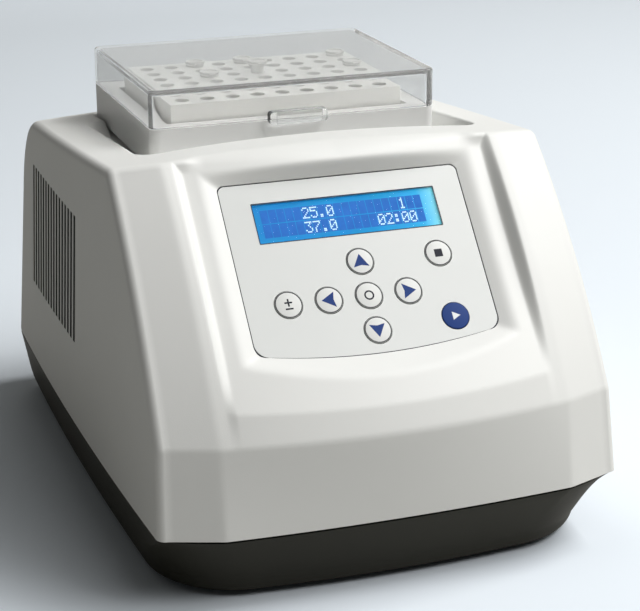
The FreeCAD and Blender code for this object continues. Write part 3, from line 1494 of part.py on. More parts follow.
doc.recompute()
for item in doc.Objects:
    if "Invalid" in item.State or "Error" in item.State:
        raise RuntimeError("%s did not build: %s" % (item.Name, item.State))
for item in nodes:
    if item.Shape.isNull() or not item.Shape.isValid() or not item.Shape.Solids:
        raise RuntimeError(item.Label + " is no sound solid")

os.makedirs("parts", exist_ok=True)
for item in nodes:
    item.Shape.exportStep("parts/%s.step" % item.Label)
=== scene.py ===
from collections import namedtuple
import json
import math

import bmesh
import bpy
import numpy as np
from mathutils import Matrix, Vector


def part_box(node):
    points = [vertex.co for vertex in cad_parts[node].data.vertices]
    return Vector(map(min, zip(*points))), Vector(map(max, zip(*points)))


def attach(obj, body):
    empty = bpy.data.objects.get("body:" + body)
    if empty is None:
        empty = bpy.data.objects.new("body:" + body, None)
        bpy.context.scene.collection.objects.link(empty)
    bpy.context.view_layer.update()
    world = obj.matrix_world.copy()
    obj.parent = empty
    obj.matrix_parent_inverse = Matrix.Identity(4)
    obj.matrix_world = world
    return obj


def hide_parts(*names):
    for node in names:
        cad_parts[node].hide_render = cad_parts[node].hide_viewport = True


bl_info = {
    "name": "Dry Bath Incubator",
    "version": (1, 0, 0),
    "blender": (4, 5, 0),
    "location": "3D View > Sidebar > Dry Bath",
    "description": "Builds the looks of a bench dry bath around its fixed frame",
    "category": "Object",
}

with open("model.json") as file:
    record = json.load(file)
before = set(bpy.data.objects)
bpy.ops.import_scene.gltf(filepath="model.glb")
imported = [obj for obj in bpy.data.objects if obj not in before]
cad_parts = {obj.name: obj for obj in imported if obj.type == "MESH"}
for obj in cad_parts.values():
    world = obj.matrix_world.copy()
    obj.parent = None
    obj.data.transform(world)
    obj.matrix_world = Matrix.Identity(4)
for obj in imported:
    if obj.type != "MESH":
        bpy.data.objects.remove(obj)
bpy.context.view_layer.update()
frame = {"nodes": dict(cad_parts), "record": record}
NODES = frame["nodes"]
MM = 0.001

# Bodies that carry pieces, apart from the keys' own
HOUSING = "housing"
LID = "lid"

# Places on the sloped panel, in millimetres: its middle is the middle of the display window
PANEL_TILT = math.radians(48.3)
PANEL_Y = -78.5
PANEL_Z = 143.8
KEY_SPOTS = {
    "key_up": (0.0, -22.1),
    "key_down": (0.0, -53.9),
    "key_left": (-17.9, -38.0),
    "key_right": (17.9, -38.0),
    "key_set": (0.0, -38.0),
    "key_adjust": (-35.8, -38.0),
    "key_stop": (35.8, -22.4),
    "key_start": (35.8, -51.9),
}

# Housing form, in millimetres, as the frame has it
HALF_DEPTH = 149.0
HALF_WIDTH = 106.2
SEAM_Z = 33.0
SIDE_DRAFT = math.tan(math.radians(2.8))
SIDE_BULGE = 3.4
CREASE_Z = 70.5
SEAM_BULGE = 3.2
CREASE_BULGE = 8.5
LOWER_SLOPE = math.radians(62.0)
FASCIA_X = 68.0
FASCIA_RISE = 6.0
FASCIA_BULGE = 4.5
GROOVE_WIDTH = 5.0
RIDGE_X = 77.5
RIDGE_RISE = 4.0
RIDGE_SAG = 5.0
FLANK_SWEEP = math.tan(math.radians(20.5))
TOP_Z = 171.7
TOP_Y = -60.0
TOP_SLOPE = math.radians(5.4)
CROWN_RADIUS = 1130.0
BROW_RADIUS = 18.0
RIDGE_RADIUS = 6.0
REAR_LEAN = math.radians(7.5)
REAR_RADIUS = 48.0
REAR_CORNER = 16.0
CREASE_RADIUS = 8.0
STEP_RADIUS = 10.0
PANEL_BACK = 3.45
WALL = 2.6
# The groove closes above this place up the slope and beside this one across it, each over a run
GROOVE_END = (25.0, 10.0)
GROOVE_SIDE = (58.0, 9.0)
GROOVE_TOP = 60.0
# Columns further out than this are blended towards the flank
BLEND_X = 59.5
# How softly the recess round the overlay meets itself and the shell
BEVEL_BLEND = 0.8
RECESS_BLEND = 1.3
VENT_COUNT = 16
VENT_PITCH = 6.2
VENT_SHIFT = 6.5
VENT_HALF = 1.8
VENT_HEIGHTS = (72, 132)
VENT_REACH = (89, 110)

# Tray, lid and block, in millimetres
COLLAR_Y = 41.0
COLLAR_GAP = 1.0
RECESS_FLOOR = 151.5
TRAY_RISE = 20.0
TRAY_HALF = 77.0
TRAY_FRONT = 74.0
TRAY_REAR = 19.0
TRAY_ARCH = 5.0
TRAY_CORNER = 6.0
NECK = (123.0, 87.5)
LID_WIDTH = 136.2
LID_DEPTH = 106.4
LID_HEIGHT = 17.5
LID_CORNER = 4.5
HINGE_X = 34.0
HINGE_Y = 98.4
HINGE_Z = 171.0
LUG_WIDTH = 5.6
LUG_DIAMETER = 5.8
PIN_BORE = 3.4
DISH_DIAMETER = 60.0
DISH_SHIFT = 29.1
WELL_PITCH = 12.0
TUBE_WELLS = [(2, 3), (4, 3), (8, 3), (2, 5), (4, 5), (8, 5)]
RAISED_TUBE = (4, 3)
# A tube from its point to the top of its cap: width and height above the block
TUBE_PROFILE = [
    (2.0, -26.0), (2.5, -25.6), (6.2, -19.8), (6.2, -0.02), (8.6, 0.0), (8.8, 0.2), (8.8, 0.75), (8.6, 0.9),
    (7.2, 0.95), (7.2, 1.25), (9.1, 1.3), (9.4, 1.5), (9.4, 2.1), (9.1, 2.35), (7.4, 2.38), (7.0, 1.9),
    (6.6, 1.85),
]
TUBE_TAB = ((-1.5, 1.5), (-6.4, -4.0), (1.35, 2.05))

# Overlay, window and keys, in millimetres; heights are out of the panel
OVERLAY_HALF = 54.5
OVERLAY_TOP = 18.7
OVERLAY_CORNER = -59.5
OVERLAY_CENTRE = -64.0
OVERLAY_SPREAD = 0.45
BEVEL_SIDE = math.tan(math.radians(21.0))
BEVEL_TOP = math.tan(math.radians(50.0))
BEVEL_BOTTOM = math.tan(math.radians(27.5))
WINDOW = (84.0, 19.6)
BORDER = ((83.5, 19.1, 0.6), (82.7, 18.3, 0.3))
CELL_PITCH = 3.68
CELL_SHIFT = -1.6
CELL_SIZE = (3.42, 6.25, 0.02)
CELL_HEIGHT = -1.07
LINE_HEIGHT = 3.35
DOT_HEIGHT = -1.03
DOT_STRETCH = 1.18
KEY_DIAMETER = 12.0
KEY_HOLE = 12.7
KEY_LEVELS = (-5.35, -4.75, -3.55, 0.4)
KEY_FLANGE = 15.3
KEY_STEM = 5.0
KEY_EDGE = 0.22
SIGN_LEVELS = (0.38, 0.43)
SIGN_RING = (4.4, 3.0)
RIM_RING = (11.74, 10.95)
RIM_LEVELS = (0.3, 0.42)
PANEL_CUT = (-8.0, -0.5)

# Lower shell, in millimetres
BASE_TAPER = 4.4
BASE_FRONT_TAPER = 9.5
BASE_CORNER = 42.0
BASE_EDGE_Z = 9.0
CASE_SCREWS = [(x, y) for x in (-88.0, 88.0) for y in (-84.0, 112.0)]
SCREW_WELL = (6.5, 3.0)
FAN_SLOTS = 11
FAN_SLOT_HALF = 1.5
FAN_SLOT_RUN = (8, 68)


def on_panel(points):
    """Points given across the panel, up its slope and out of it, as places in the room."""
    points = np.asarray(points, float)
    x, up, out = points[..., 0], points[..., 1], points[..., 2]
    y = PANEL_Y + up * math.cos(PANEL_TILT) - out * math.sin(PANEL_TILT)
    z = PANEL_Z + up * math.sin(PANEL_TILT) + out * math.cos(PANEL_TILT)
    return np.stack([x, y, z], -1)


# Materials

def add(tree, kind, **values):
    """A node with its settings and with plain values on its sockets."""
    node = tree.nodes.new(kind)
    for name, value in values.items():
        if name in node.inputs:
            node.inputs[name].default_value = value
        else:
            setattr(node, name, value)
    return node


def object_place(tree):
    return add(tree, "ShaderNodeTexCoord").outputs["Object"]


def noise_at(tree, place, scale, detail, roughness=0.5):
    noise = add(tree, "ShaderNodeTexNoise", Scale=scale, Detail=detail, Roughness=roughness)
    tree.links.new(place, noise.inputs["Vector"])
    return noise


def map_range(tree, value, low=0.0, high=1.0, first=0.0, last=1.0):
    """The value, carried from its limits low and high to first and last."""
    limits = {"From Min": low, "From Max": high, "To Min": first, "To Max": last}
    node = add(tree, "ShaderNodeMapRange", **limits)
    tree.links.new(value, node.inputs["Value"])
    return node.outputs["Result"]


def ramp(tree, share, first, last, between=()):
    """Colours along a share; each is given with its place."""
    node = add(tree, "ShaderNodeValToRGB")
    stops = node.color_ramp.elements
    for stop, (place, color) in zip(stops, (first, last)):
        stop.position = place
        stop.color = (*color, 1.0)
    for place, color in between:
        stops.new(place).color = (*color, 1.0)
    tree.links.new(share, node.inputs["Fac"])
    return node.outputs["Color"]


def sums(tree):
    """A function that adds a math node to the tree and gives its result."""
    def sum_of(operation, *values):
        node = add(tree, "ShaderNodeMath", operation=operation)
        for index, value in enumerate(values):
            if isinstance(value, float):
                node.inputs[index].default_value = value
            else:
                tree.links.new(value, node.inputs[index])
        return node.outputs["Value"]
    return sum_of


def color_sockets(sockets):
    return [socket for socket in sockets if socket.type == "RGBA"]


def color_mix(tree, share, first, second, **values):
    """A mix of two colours by a share; each is a plain value or another node's output."""
    mix = add(tree, "ShaderNodeMix", data_type="RGBA", **values)
    if isinstance(share, float):
        mix.inputs["Factor"].default_value = share
    else:
        tree.links.new(share, mix.inputs["Factor"])
    for socket, color in zip(color_sockets(mix.inputs), (first, second)):
        if isinstance(color, tuple):
            socket.default_value = (*color, 1.0)
        else:
            tree.links.new(color, socket)
    return color_sockets(mix.outputs)[0]


def shader_inputs(material):
    return material.node_tree.nodes["Principled BSDF"].inputs


def new_material(name, color, roughness, values):
    """A material whose plain values sit on its main shader's own sockets."""
    material = bpy.data.materials.new(name)
    material.use_nodes = True
    inputs = shader_inputs(material)
    for label, value in {"Base Color": (*color, 1.0), "Roughness": roughness, **values}.items():
        inputs[label].default_value = value
    return material


def lead(material, output, *names):
    """Lead a node's output into sockets of the main shader."""
    for name in names:
        material.node_tree.links.new(output, shader_inputs(material)[name])


def grain(material, scale, depth, spread, detail=3.0, stretch=None):
    """Fine moulded or brushed grain as a bump, and a spread of it in the roughness."""
    tree = material.node_tree
    place = object_place(tree)
    if stretch:
        mapping = add(tree, "ShaderNodeMapping", Scale=stretch)
        tree.links.new(place, mapping.inputs["Vector"])
        place = mapping.outputs["Vector"]
    noise = noise_at(tree, place, scale, detail, 0.55).outputs["Fac"]
    bump = add(tree, "ShaderNodeBump", Strength=1.0, Distance=depth)
    tree.links.new(noise, bump.inputs["Height"])
    lead(material, bump.outputs["Normal"], "Normal")
    roughness = shader_inputs(material)["Roughness"].default_value
    lead(material, map_range(tree, noise, first=roughness - spread, last=roughness + spread), "Roughness")


def mottle(material, low, high, scale):
    """Slow change of colour over the surface, between two near colours."""
    tree = material.node_tree
    noise = noise_at(tree, object_place(tree), scale, 4.0, 0.6)
    lead(material, ramp(tree, noise.outputs["Fac"], (0.3, low), (0.7, high)), "Base Color")


def plastic(name, low, high, roughness, scale, depth, values):
    material = new_material(name, low, roughness, {"Coat Roughness": 0.15, **values})
    grain(material, scale, depth, 0.06)
    mottle(material, low, high, 9.0)
    return material


def metal(name, low, high, roughness, stretch, depth, metallic=1.0):
    material = new_material(name, low, roughness, {"Metallic": metallic})
    grain(material, 900.0, depth, 0.08, 2.0, stretch)
    mottle(material, low, high, 30.0)
    return material


def clear(name, color, roughness, index, transmission=1.0):
    """Clear or milky moulded plastic that light passes through, with faint surface haze."""
    values = {"Transmission Weight": transmission, "IOR": index}
    material = new_material(name, color, roughness, values)
    tree = material.node_tree
    haze = noise_at(tree, object_place(tree), 60.0, 3.0).outputs["Fac"]
    lead(material, map_range(tree, haze, first=roughness, last=roughness + 0.02), "Roughness")
    return material


def darken(material, share, color):
    """Mix the finish's own colour towards another one by a share."""
    base = shader_inputs(material)["Base Color"]
    own = base.links[0].from_socket
    lead(material, color_mix(material.node_tree, share, own, color), "Base Color")


def place_axes(tree):
    split = add(tree, "ShaderNodeSeparateXYZ")
    tree.links.new(object_place(tree), split.inputs["Vector"])
    return (split.outputs[axis] for axis in "XYZ")


def paint_well_shade(material):
    """Paint shade into the block down in its wells, which lie more than a margin within its sides."""
    tree = material.node_tree
    low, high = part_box("heating_block")
    sum_of = sums(tree)
    x, y, z = place_axes(tree)
    margin = 1.0 * MM
    depth = map_range(tree, z, high[2] - 0.4 * MM, high[2] - 4.0 * MM, 0.0, 0.85)
    across = sum_of("COMPARE", x, (low[0] + high[0]) / 2, (high[0] - low[0]) / 2 - margin)
    along = sum_of("COMPARE", y, (low[1] + high[1]) / 2, (high[1] - low[1]) / 2 - margin)
    darken(material, sum_of("MULTIPLY", sum_of("MULTIPLY", across, along), depth), WELL_PAINTED_SHADE)


def darken_vents(material):
    """Make the shell dark in the depth of its vents, where no light reaches."""
    tree = material.node_tree
    sum_of = sums(tree)
    x, y, z = place_axes(tree)
    bulge = sum_of("MULTIPLY", sum_of("MULTIPLY", y, y), SIDE_BULGE * MM / (HALF_DEPTH * MM) ** 2)
    draft = sum_of("MULTIPLY", sum_of("SUBTRACT", z, SEAM_Z * MM), SIDE_DRAFT)
    side = sum_of("SUBTRACT", sum_of("SUBTRACT", HALF_WIDTH * MM, bulge), draft)
    depth = sum_of("SUBTRACT", side, sum_of("ABSOLUTE", x))
    low, high = VENT_HEIGHTS
    tall = sum_of("COMPARE", z, (low + high) / 2 * MM, ((high - low) / 2 + 0.5) * MM)
    long = sum_of("COMPARE", y, (COLLAR_Y + VENT_SHIFT) * MM, (VENT_COUNT / 2 * VENT_PITCH - 1.1) * MM)
    deep = map_range(tree, depth, 0.08 * MM, 0.25 * MM)
    near = sum_of("LESS_THAN", depth, (WALL + 0.9) * MM)
    inside = sum_of("MULTIPLY", tall, long)
    darken(material, sum_of("MULTIPLY", sum_of("MULTIPLY", deep, near), inside), VENT_SHADE)


def display_material():
    """The lit display: deep blue with a cyan glow towards its right end."""
    values = {"Specular IOR Level": 0.1, "Emission Strength": 0.55}
    material = new_material("display_blue", (0.0, 0.13, 0.3), 0.6, values)
    tree = material.node_tree
    half = WINDOW[0] / 2 * MM
    along = map_range(tree, next(place_axes(tree)), -half, half)
    glow = ramp(tree, along, (0.0, (0.008, 0.15, 0.36)), (1.0, (0.16, 0.46, 0.55)),
                [(0.9, (0.02, 0.25, 0.46)), (0.6, (0.006, 0.17, 0.38))])
    cloud = noise_at(tree, object_place(tree), 120.0, 2.0).outputs["Color"]
    lead(material, color_mix(tree, 0.25, glow, cloud, blend_type="MULTIPLY"), "Base Color", "Emission Color")
    return material


def board_material():
    """Green board with paler tracks under its lacquer."""
    material = new_material("board_green", (0.02, 0.16, 0.07), 0.35, {"Coat Weight": 0.3})
    tree = material.node_tree
    colors = {"Color1": (0.015, 0.13, 0.055, 1.0), "Color2": (0.02, 0.18, 0.08, 1.0),
              "Mortar": (0.05, 0.3, 0.14, 1.0), "Mortar Size": 0.03}
    brick = add(tree, "ShaderNodeTexBrick", Scale=60.0, **colors)
    tree.links.new(object_place(tree), brick.inputs["Vector"])
    lead(material, brick.outputs["Color"], "Base Color")
    return material


# Painted shade for the depth of the block's wells
WELL_PAINTED_SHADE = (0.12, 0.12, 0.115)
VENT_SHADE = (0.006, 0.006, 0.004)
DULL = {"Specular IOR Level": 0.15}
GLOSS = {"Coat Weight": 0.15}
# Each plastic: its two colours, roughness, scale and depth of grain, and other values of its shader
PLASTICS = {
    "shell_white": ((0.81, 0.814, 0.792), (0.84, 0.844, 0.822), 0.5, 2600.0, 0.00003, {}),
    "base_dark": ((0.013, 0.0135, 0.008), (0.019, 0.0195, 0.012), 0.5, 2200.0, 0.00004, {}),
    "overlay_film": ((0.64, 0.655, 0.64), (0.67, 0.685, 0.67), 0.34, 1800.0, 0.00001, GLOSS),
    "switch_black": ((0.012, 0.012, 0.012), (0.02, 0.02, 0.02), 0.42, 1800.0, 0.00002, {}),
    "key_white": ((0.69, 0.70, 0.68), (0.72, 0.73, 0.71), 0.4, 1500.0, 0.00001, {"Coat Weight": 0.1}),
    "key_blue": ((0.008, 0.04, 0.20), (0.012, 0.05, 0.23), 0.5, 1500.0, 0.00001, DULL),
    "collar_white": ((0.80, 0.80, 0.79), (0.84, 0.84, 0.83), 0.33, 1500.0, 0.00001, GLOSS),
    "foam_black": ((0.01, 0.01, 0.01), (0.025, 0.025, 0.025), 0.85, 700.0, 0.0002, {}),
    "ceramic_white": ((0.72, 0.72, 0.7), (0.78, 0.78, 0.76), 0.6, 2500.0, 0.00002, {}),
    "foot_rubber": ((0.012, 0.012, 0.012), (0.02, 0.02, 0.02), 0.75, 1600.0, 0.00005, {}),
    "can_black": ((0.012, 0.014, 0.02), (0.02, 0.022, 0.03), 0.25, 1200.0, 0.00001, {}),
    "coil_yellow": ((0.55, 0.4, 0.05), (0.65, 0.5, 0.09), 0.45, 600.0, 0.0001, {}),
    # Dark print ink, also used as painted shade in the gap round the overlay
    "ink_dark": ((0.012, 0.014, 0.025), (0.018, 0.02, 0.035), 0.5, 1500.0, 0.000005, DULL),
    "ink_blue": ((0.008, 0.04, 0.20), (0.012, 0.05, 0.23), 0.5, 1500.0, 0.000005, DULL),
    "ink_white": ((0.75, 0.78, 0.8), (0.8, 0.82, 0.84), 0.4, 1500.0, 0.000005, {}),
}
# Each metal: its two colours, roughness, stretch and depth of grain, and how metallic it is
METALS = {
    "screw_steel": ((0.5, 0.5, 0.5), (0.6, 0.6, 0.6), 0.35, (1, 1, 4), 0.00001),
    "plain_alloy": ((0.6, 0.61, 0.62), (0.68, 0.69, 0.7), 0.38, (1, 40, 1), 0.00001),
    "contact_brass": ((0.7, 0.55, 0.25), (0.76, 0.62, 0.32), 0.3, (1, 1, 6), 0.00001),
    "block_alloy": ((0.86, 0.86, 0.83), (0.89, 0.89, 0.86), 0.42, (1, 1, 1), 0.000012, 0.3),
}
# Each clear plastic: its colour, roughness, refraction and how much light it lets through
CLEARS = {
    "window_clear": ((0.97, 0.99, 1.0), 0.0, 1.02),
    "lid_clear": ((0.87, 0.87, 0.865), 0.0, 1.2, 0.9),
    "grip_clear": ((0.97, 0.98, 0.98), 0.0, 1.4),
    "tube_plastic": ((0.90, 0.90, 0.88), 0.4, 1.3, 0.45),
}
# Each glowing ink: its colour, roughness, glow and its strength, shine, two colours and their scale
GLOWS = {
    "display_dots": ((0.45, 0.62, 0.7), 0.5, (0.6, 0.85, 0.95, 1.0), 0.2, 0.5,
                     (0.42, 0.6, 0.68), (0.48, 0.66, 0.73), 300.0),
    "display_cells": ((0.01, 0.08, 0.3), 0.6, (0.01, 0.09, 0.4, 1.0), 0.3, 0.1,
                      (0.012, 0.075, 0.26), (0.016, 0.1, 0.33), 200.0),
}


def make_materials():
    made = {"display_blue": display_material(), "board_green": board_material()}
    for make, table in ((plastic, PLASTICS), (metal, METALS), (clear, CLEARS)):
        for name, values in table.items():
            made[name] = make(name, *values)
    for name, (color, roughness, glow, strength, shine, low, high, scale) in GLOWS.items():
        values = {"Emission Color": glow, "Emission Strength": strength, "Specular IOR Level": shine}
        made[name] = new_material(name, color, roughness, values)
        mottle(made[name], low, high, scale)
    paint_well_shade(made["block_alloy"])
    darken_vents(made["shell_white"])
    return made


MATERIALS = make_materials()
SLOT_OF = {row["node"]: row["material_slot"] for row in frame["record"]["subparts"]}


# Mesh helpers

def linked_mesh(name, points, faces=()):
    """A mesh object in the scene, from points in millimetres."""
    mesh = bpy.data.meshes.new(name)
    mesh.from_pydata((np.asarray(points, float) * MM).tolist(), [], faces)
    piece = bpy.data.objects.new(name, mesh)
    bpy.context.scene.collection.objects.link(piece)
    return piece


def turn_outwards(mesh, merge):
    """Turn all faces outwards, after merging points that lie closer than a distance."""
    work = bmesh.new()
    work.from_mesh(mesh)
    if merge:
        bmesh.ops.remove_doubles(work, verts=work.verts, dist=merge)
    bmesh.ops.recalc_face_normals(work, faces=work.faces)
    work.to_mesh(mesh)
    work.free()


def smooth_edges(mesh, angle):
    """Smooth shading, but for the flat ends, which have many corners."""
    for face in mesh.polygons:
        face.use_smooth = len(face.vertices) < 9
    mesh.set_sharp_from_angle(angle=math.radians(angle))


def new_piece(name, part, material, body, angle):
    """A piece that rides on a body, smooth where its faces meet at less than the angle."""
    piece = linked_mesh(name, *part)
    piece.data.materials.append(MATERIALS[material])
    turn_outwards(piece.data, 1e-7)
    smooth_edges(piece.data, angle)
    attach(piece, body)
    return piece


def cutting_piece(name, parts):
    piece = linked_mesh(name, *join_parts(parts))
    turn_outwards(piece.data, 0.0)
    return piece


def bake(piece):
    """Turn a piece with modifiers into a plain mesh."""
    graph = bpy.context.evaluated_depsgraph_get()
    result = bpy.data.meshes.new_from_object(piece.evaluated_get(graph), depsgraph=graph)
    piece.modifiers.clear()
    piece.data = result


def carve(piece, tools, operation="DIFFERENCE"):
    """Cut tools out of a piece, or join them to it, and drop them."""
    for tool in tools:
        modifier = piece.modifiers.new("carve", "BOOLEAN")
        modifier.operation = operation
        modifier.solver = "EXACT"
        modifier.object = tool
        bake(piece)
    for tool in tools:
        bpy.data.objects.remove(tool)
    if not piece.data.polygons:
        raise RuntimeError(piece.name + " was cut away")


def quarter(steps, start=0):
    """Angles of a quarter turn from a start in degrees, both ends included."""
    return [math.radians(start + 90 * step / steps) for step in range(steps + 1)]


def rounded_ring(width, height, radius, steps=6):
    """A rounded rectangle round the origin, counter-clockwise."""
    points = []
    for side_x, side_y, start in ((1, 1, 0), (-1, 1, 90), (-1, -1, 180), (1, -1, 270)):
        for angle in quarter(steps, start):
            points.append((side_x * (width / 2 - radius) + radius * math.cos(angle),
                           side_y * (height / 2 - radius) + radius * math.sin(angle)))
    return np.array(points)


def circle_ring(diameter, steps=48):
    angles = np.linspace(0, 2 * math.pi, steps, endpoint=False)
    return np.stack([np.cos(angles), np.sin(angles)], -1) * diameter / 2


def at_height(ring, height):
    return np.column_stack([ring, np.full(len(ring), height)])


def band(before, after):
    """Faces between two closed loops of equal length."""
    count = len(before)
    return [(before[step], before[(step + 1) % count], after[(step + 1) % count], after[step])
            for step in range(count)]


def stacked(rings):
    """A closed solid through rings of equal length, first one at the bottom."""
    count = len(rings[0])
    loops = [range(row * count, (row + 1) * count) for row in range(len(rings))]
    faces = [tuple(loops[0][::-1])]
    for before, after in zip(loops, loops[1:]):
        faces += band(before, after)
    faces.append(tuple(loops[-1]))
    return np.concatenate(rings), faces


def prism(outline, low, high):
    return stacked([at_height(outline, low), at_height(outline, high)])


def round_bar(diameter, low, high, steps=32):
    return prism(circle_ring(diameter, steps), low, high)


def cross_bar(diameter, low, high, steps, x, y, z):
    """A round bar that lies across the width."""
    points, faces = round_bar(diameter, low, high, steps)
    return points[:, [2, 0, 1]] + (x, y, z), faces


def block_part(x, y, z):
    """A block from its three pairs of limits."""
    corners = np.array([(a, b, c) for a in x for b in y for c in z], float)
    return corners, [(0, 1, 3, 2), (4, 6, 7, 5), (0, 4, 5, 1), (2, 3, 7, 6), (0, 2, 6, 4), (1, 5, 7, 3)]


def place_at(part, x, y, z=0.0):
    points, faces = part
    return points + (x, y, z), faces


def panel_part(part, across=0.0, up=0.0):
    """A part laid onto the panel."""
    points, faces = part
    return on_panel(points + (across, up, 0)), faces


def slab_rings(outline, low, high, edge, steps=4):
    """Rings of a slab whose upper rim is rounded; outline(inset) gives its plan."""
    rings = [at_height(outline(0.0), low)]
    for angle in quarter(steps):
        rings.append(at_height(outline(edge * (1 - math.cos(angle))), high - edge * (1 - math.sin(angle))))
    return rings


def join_parts(parts):
    """Several (points, faces) as one."""
    points, faces, start = [], [], 0
    for some_points, some_faces in parts:
        points.append(some_points)
        faces += [[start + corner for corner in face] for face in some_faces]
        start += len(some_points)
    return np.concatenate(points), faces


def frame_strip(outer, inner, low, high):
    """A flat closed band between two rings of equal length."""
    count = len(outer)
    rings = [at_height(outer, low), at_height(inner, low), at_height(inner, high), at_height(outer, high)]
    faces = []
    for row in range(4):
        after = (row + 1) % 4
        faces += band(range(row * count, (row + 1) * count), range(after * count, (after + 1) * count))
    return np.concatenate(rings), faces


# Side profile of the upper housing

def direction(angle):
    return np.array([math.cos(angle), math.sin(angle)])


ALONG = direction(PANEL_TILT)
OUTWARD = np.array([-math.sin(PANEL_TILT), math.cos(PANEL_TILT)])
PANEL_PLACE = np.array([PANEL_Y, PANEL_Z])


def meet(first, angle, second, other):
    """Where two straight lines of the side profile meet."""
    u, v = direction(angle), direction(other)
    gap = np.asarray(second) - np.asarray(first)
    run = (gap[0] * v[1] - gap[1] * v[0]) / (u[0] * v[1] - u[1] * v[0])
    return np.asarray(first) + u * run


def bend(before, corner, after, radius, count):
    """Points of the arc that rounds a corner, both its ends included."""
    u = (before - corner) / np.linalg.norm(before - corner)
    v = (after - corner) / np.linalg.norm(after - corner)
    half = math.acos(np.clip(u @ v, -1, 1)) / 2
    middle = (u + v) / np.linalg.norm(u + v)
    centre = corner + middle * radius / math.sin(half)
    turn = math.pi / 2 - half
    across = u - middle * (u @ middle)
    across /= np.linalg.norm(across)
    angles = np.linspace(turn, -turn, count)
    return centre + radius * (np.outer(np.sin(angles), across) - np.outer(np.cos(angles), middle))


def run(first, last, count):
    """Points from first towards last, without both ends."""
    steps = np.arange(1, count + 1) / (count + 1)
    return first + np.outer(steps, last - first)


def arc_run(first, middle, last, shares):
    """Points at shares of the way along the arc through three points."""
    a, b, c = (np.asarray(point, float) for point in (first, middle, last))
    d = 2 * (a[0] * (b[1] - c[1]) + b[0] * (c[1] - a[1]) + c[0] * (a[1] - b[1]))
    x = (a @ a * (b[1] - c[1]) + b @ b * (c[1] - a[1]) + c @ c * (a[1] - b[1])) / d
    y = (a @ a * (c[0] - b[0]) + b @ b * (a[0] - c[0]) + c @ c * (b[0] - a[0])) / d
    centre = np.array([x, y])
    radius = np.linalg.norm(a - centre)
    start = math.atan2(*(a - centre)[::-1])
    end = math.atan2(*(c - centre)[::-1])
    turn = (end - start + math.pi) % (2 * math.pi) - math.pi
    angles = start + np.asarray(shares) * turn
    return centre + radius * np.stack([np.cos(angles), np.sin(angles)], -1)


def arc_between(first, last, sag):
    """The middle point of a shallow arc between two points, bulging forward and up."""
    way = last - first
    return (first + last) / 2 + np.array([-way[1], way[0]]) / np.linalg.norm(way) * sag


# How many rows each stretch of the profile gets
Rows = namedtuple("Rows", "band bend slope fascia brow top heel rear")
FINE = Rows(6, 7, 8, 118, 19, 34, 31, 10)
COARSE = Rows(1, 3, 1, 12, 5, 6, 9, 2)


def top_height(x, y):
    """The height of the top's slope."""
    return TOP_Z - x * x / (2 * CROWN_RADIUS) - (y - TOP_Y) * math.tan(TOP_SLOPE)


def profile(x, flank, rows, inset=0.0):
    """The side profile at a place across the width, on the fascia or on the flank."""
    across = min(abs(x), RIDGE_X)
    share = (across / RIDGE_X) ** 2
    swept = (abs(x) - across) * FLANK_SWEEP
    seam = np.array([-HALF_DEPTH + SEAM_BULGE * share + swept + inset, SEAM_Z])
    crease = np.array([1 - HALF_DEPTH + CREASE_BULGE * share + swept + inset, CREASE_Z - inset / 3])
    top = np.array([TOP_Y, top_height(x, TOP_Y) - inset])
    back = np.array([HALF_DEPTH - inset, SEAM_Z])
    back_corner = meet(back, math.pi / 2 + REAR_LEAN, top, -TOP_SLOPE)
    brow = BROW_RADIUS + (RIDGE_RADIUS - BROW_RADIUS) * min(abs(x) / FASCIA_X, 1.0)
    if flank:
        corner = meet(PANEL_PLACE + OUTWARD * (RIDGE_RISE - inset), PANEL_TILT, top, -TOP_SLOPE)
        corner = corner + np.array([swept, 0.0])
        corner[1] = top[1] - (corner[0] - TOP_Y) * math.tan(TOP_SLOPE)
        middle = arc_between(crease, corner, RIDGE_SAG)
        step = arc_between(crease, middle, RIDGE_SAG / 4)
        arch = bend(middle, corner, back_corner, brow, rows.brow)
        low = bend(seam, crease, step, CREASE_RADIUS, rows.bend)
        front = [arc_run(low[-1], middle, arch[0], profile_shares(rows))]
    elif inset:
        tilt = math.atan2(*(crease - seam)[::-1])
        crease = meet(seam, tilt, PANEL_PLACE - OUTWARD * PANEL_BACK, PANEL_TILT)
        step = crease + ALONG * 4
        corner = meet(step, PANEL_TILT, top, -TOP_SLOPE)
        arch = bend(step, corner, back_corner, brow, rows.brow)
        low = bend(seam, crease, step, 2.0, rows.bend)
        front = [run(low[-1], arch[0], rows.slope + rows.bend + rows.fascia)]
    else:
        out = FASCIA_RISE - FASCIA_BULGE * (x / FASCIA_X) ** 2
        step = meet(crease, LOWER_SLOPE, PANEL_PLACE + OUTWARD * out, PANEL_TILT)
        corner = meet(step, PANEL_TILT, top, -TOP_SLOPE)
        arch = bend(step, corner, back_corner, brow, rows.brow)
        low = bend(seam, crease, step, CREASE_RADIUS, rows.bend)
        turn = bend(low[-1], step, arch[0], STEP_RADIUS, rows.bend)
        front = [run(low[-1], turn[0], rows.slope), turn, run(turn[-1], arch[0], rows.fascia)]
    heel = bend(corner, back_corner, back, REAR_RADIUS - inset, rows.heel)
    parts = [[seam], run(seam, low[0], rows.band), low, *front, arch, run(arch[-1], heel[0], rows.top), heel,
             run(heel[-1], back, rows.rear), [back]]
    return np.concatenate([np.asarray(part, float).reshape(-1, 2) for part in parts])


def profile_shares(rows):
    """How far along the flank's arc each row lies, so that rows run level across the groove."""
    whole = profile(FASCIA_X, False, rows)
    start = rows.band + rows.bend
    stretch = whole[start:start + rows.slope + rows.bend + rows.fascia + 2]
    steps = np.linalg.norm(np.diff(stretch, axis=0), axis=1)
    shares = np.cumsum(steps) / steps.sum()
    return shares[:-1]


def smooth(value):
    value = np.clip(value, 0.0, 1.0)
    return value * value * (3 - 2 * value)


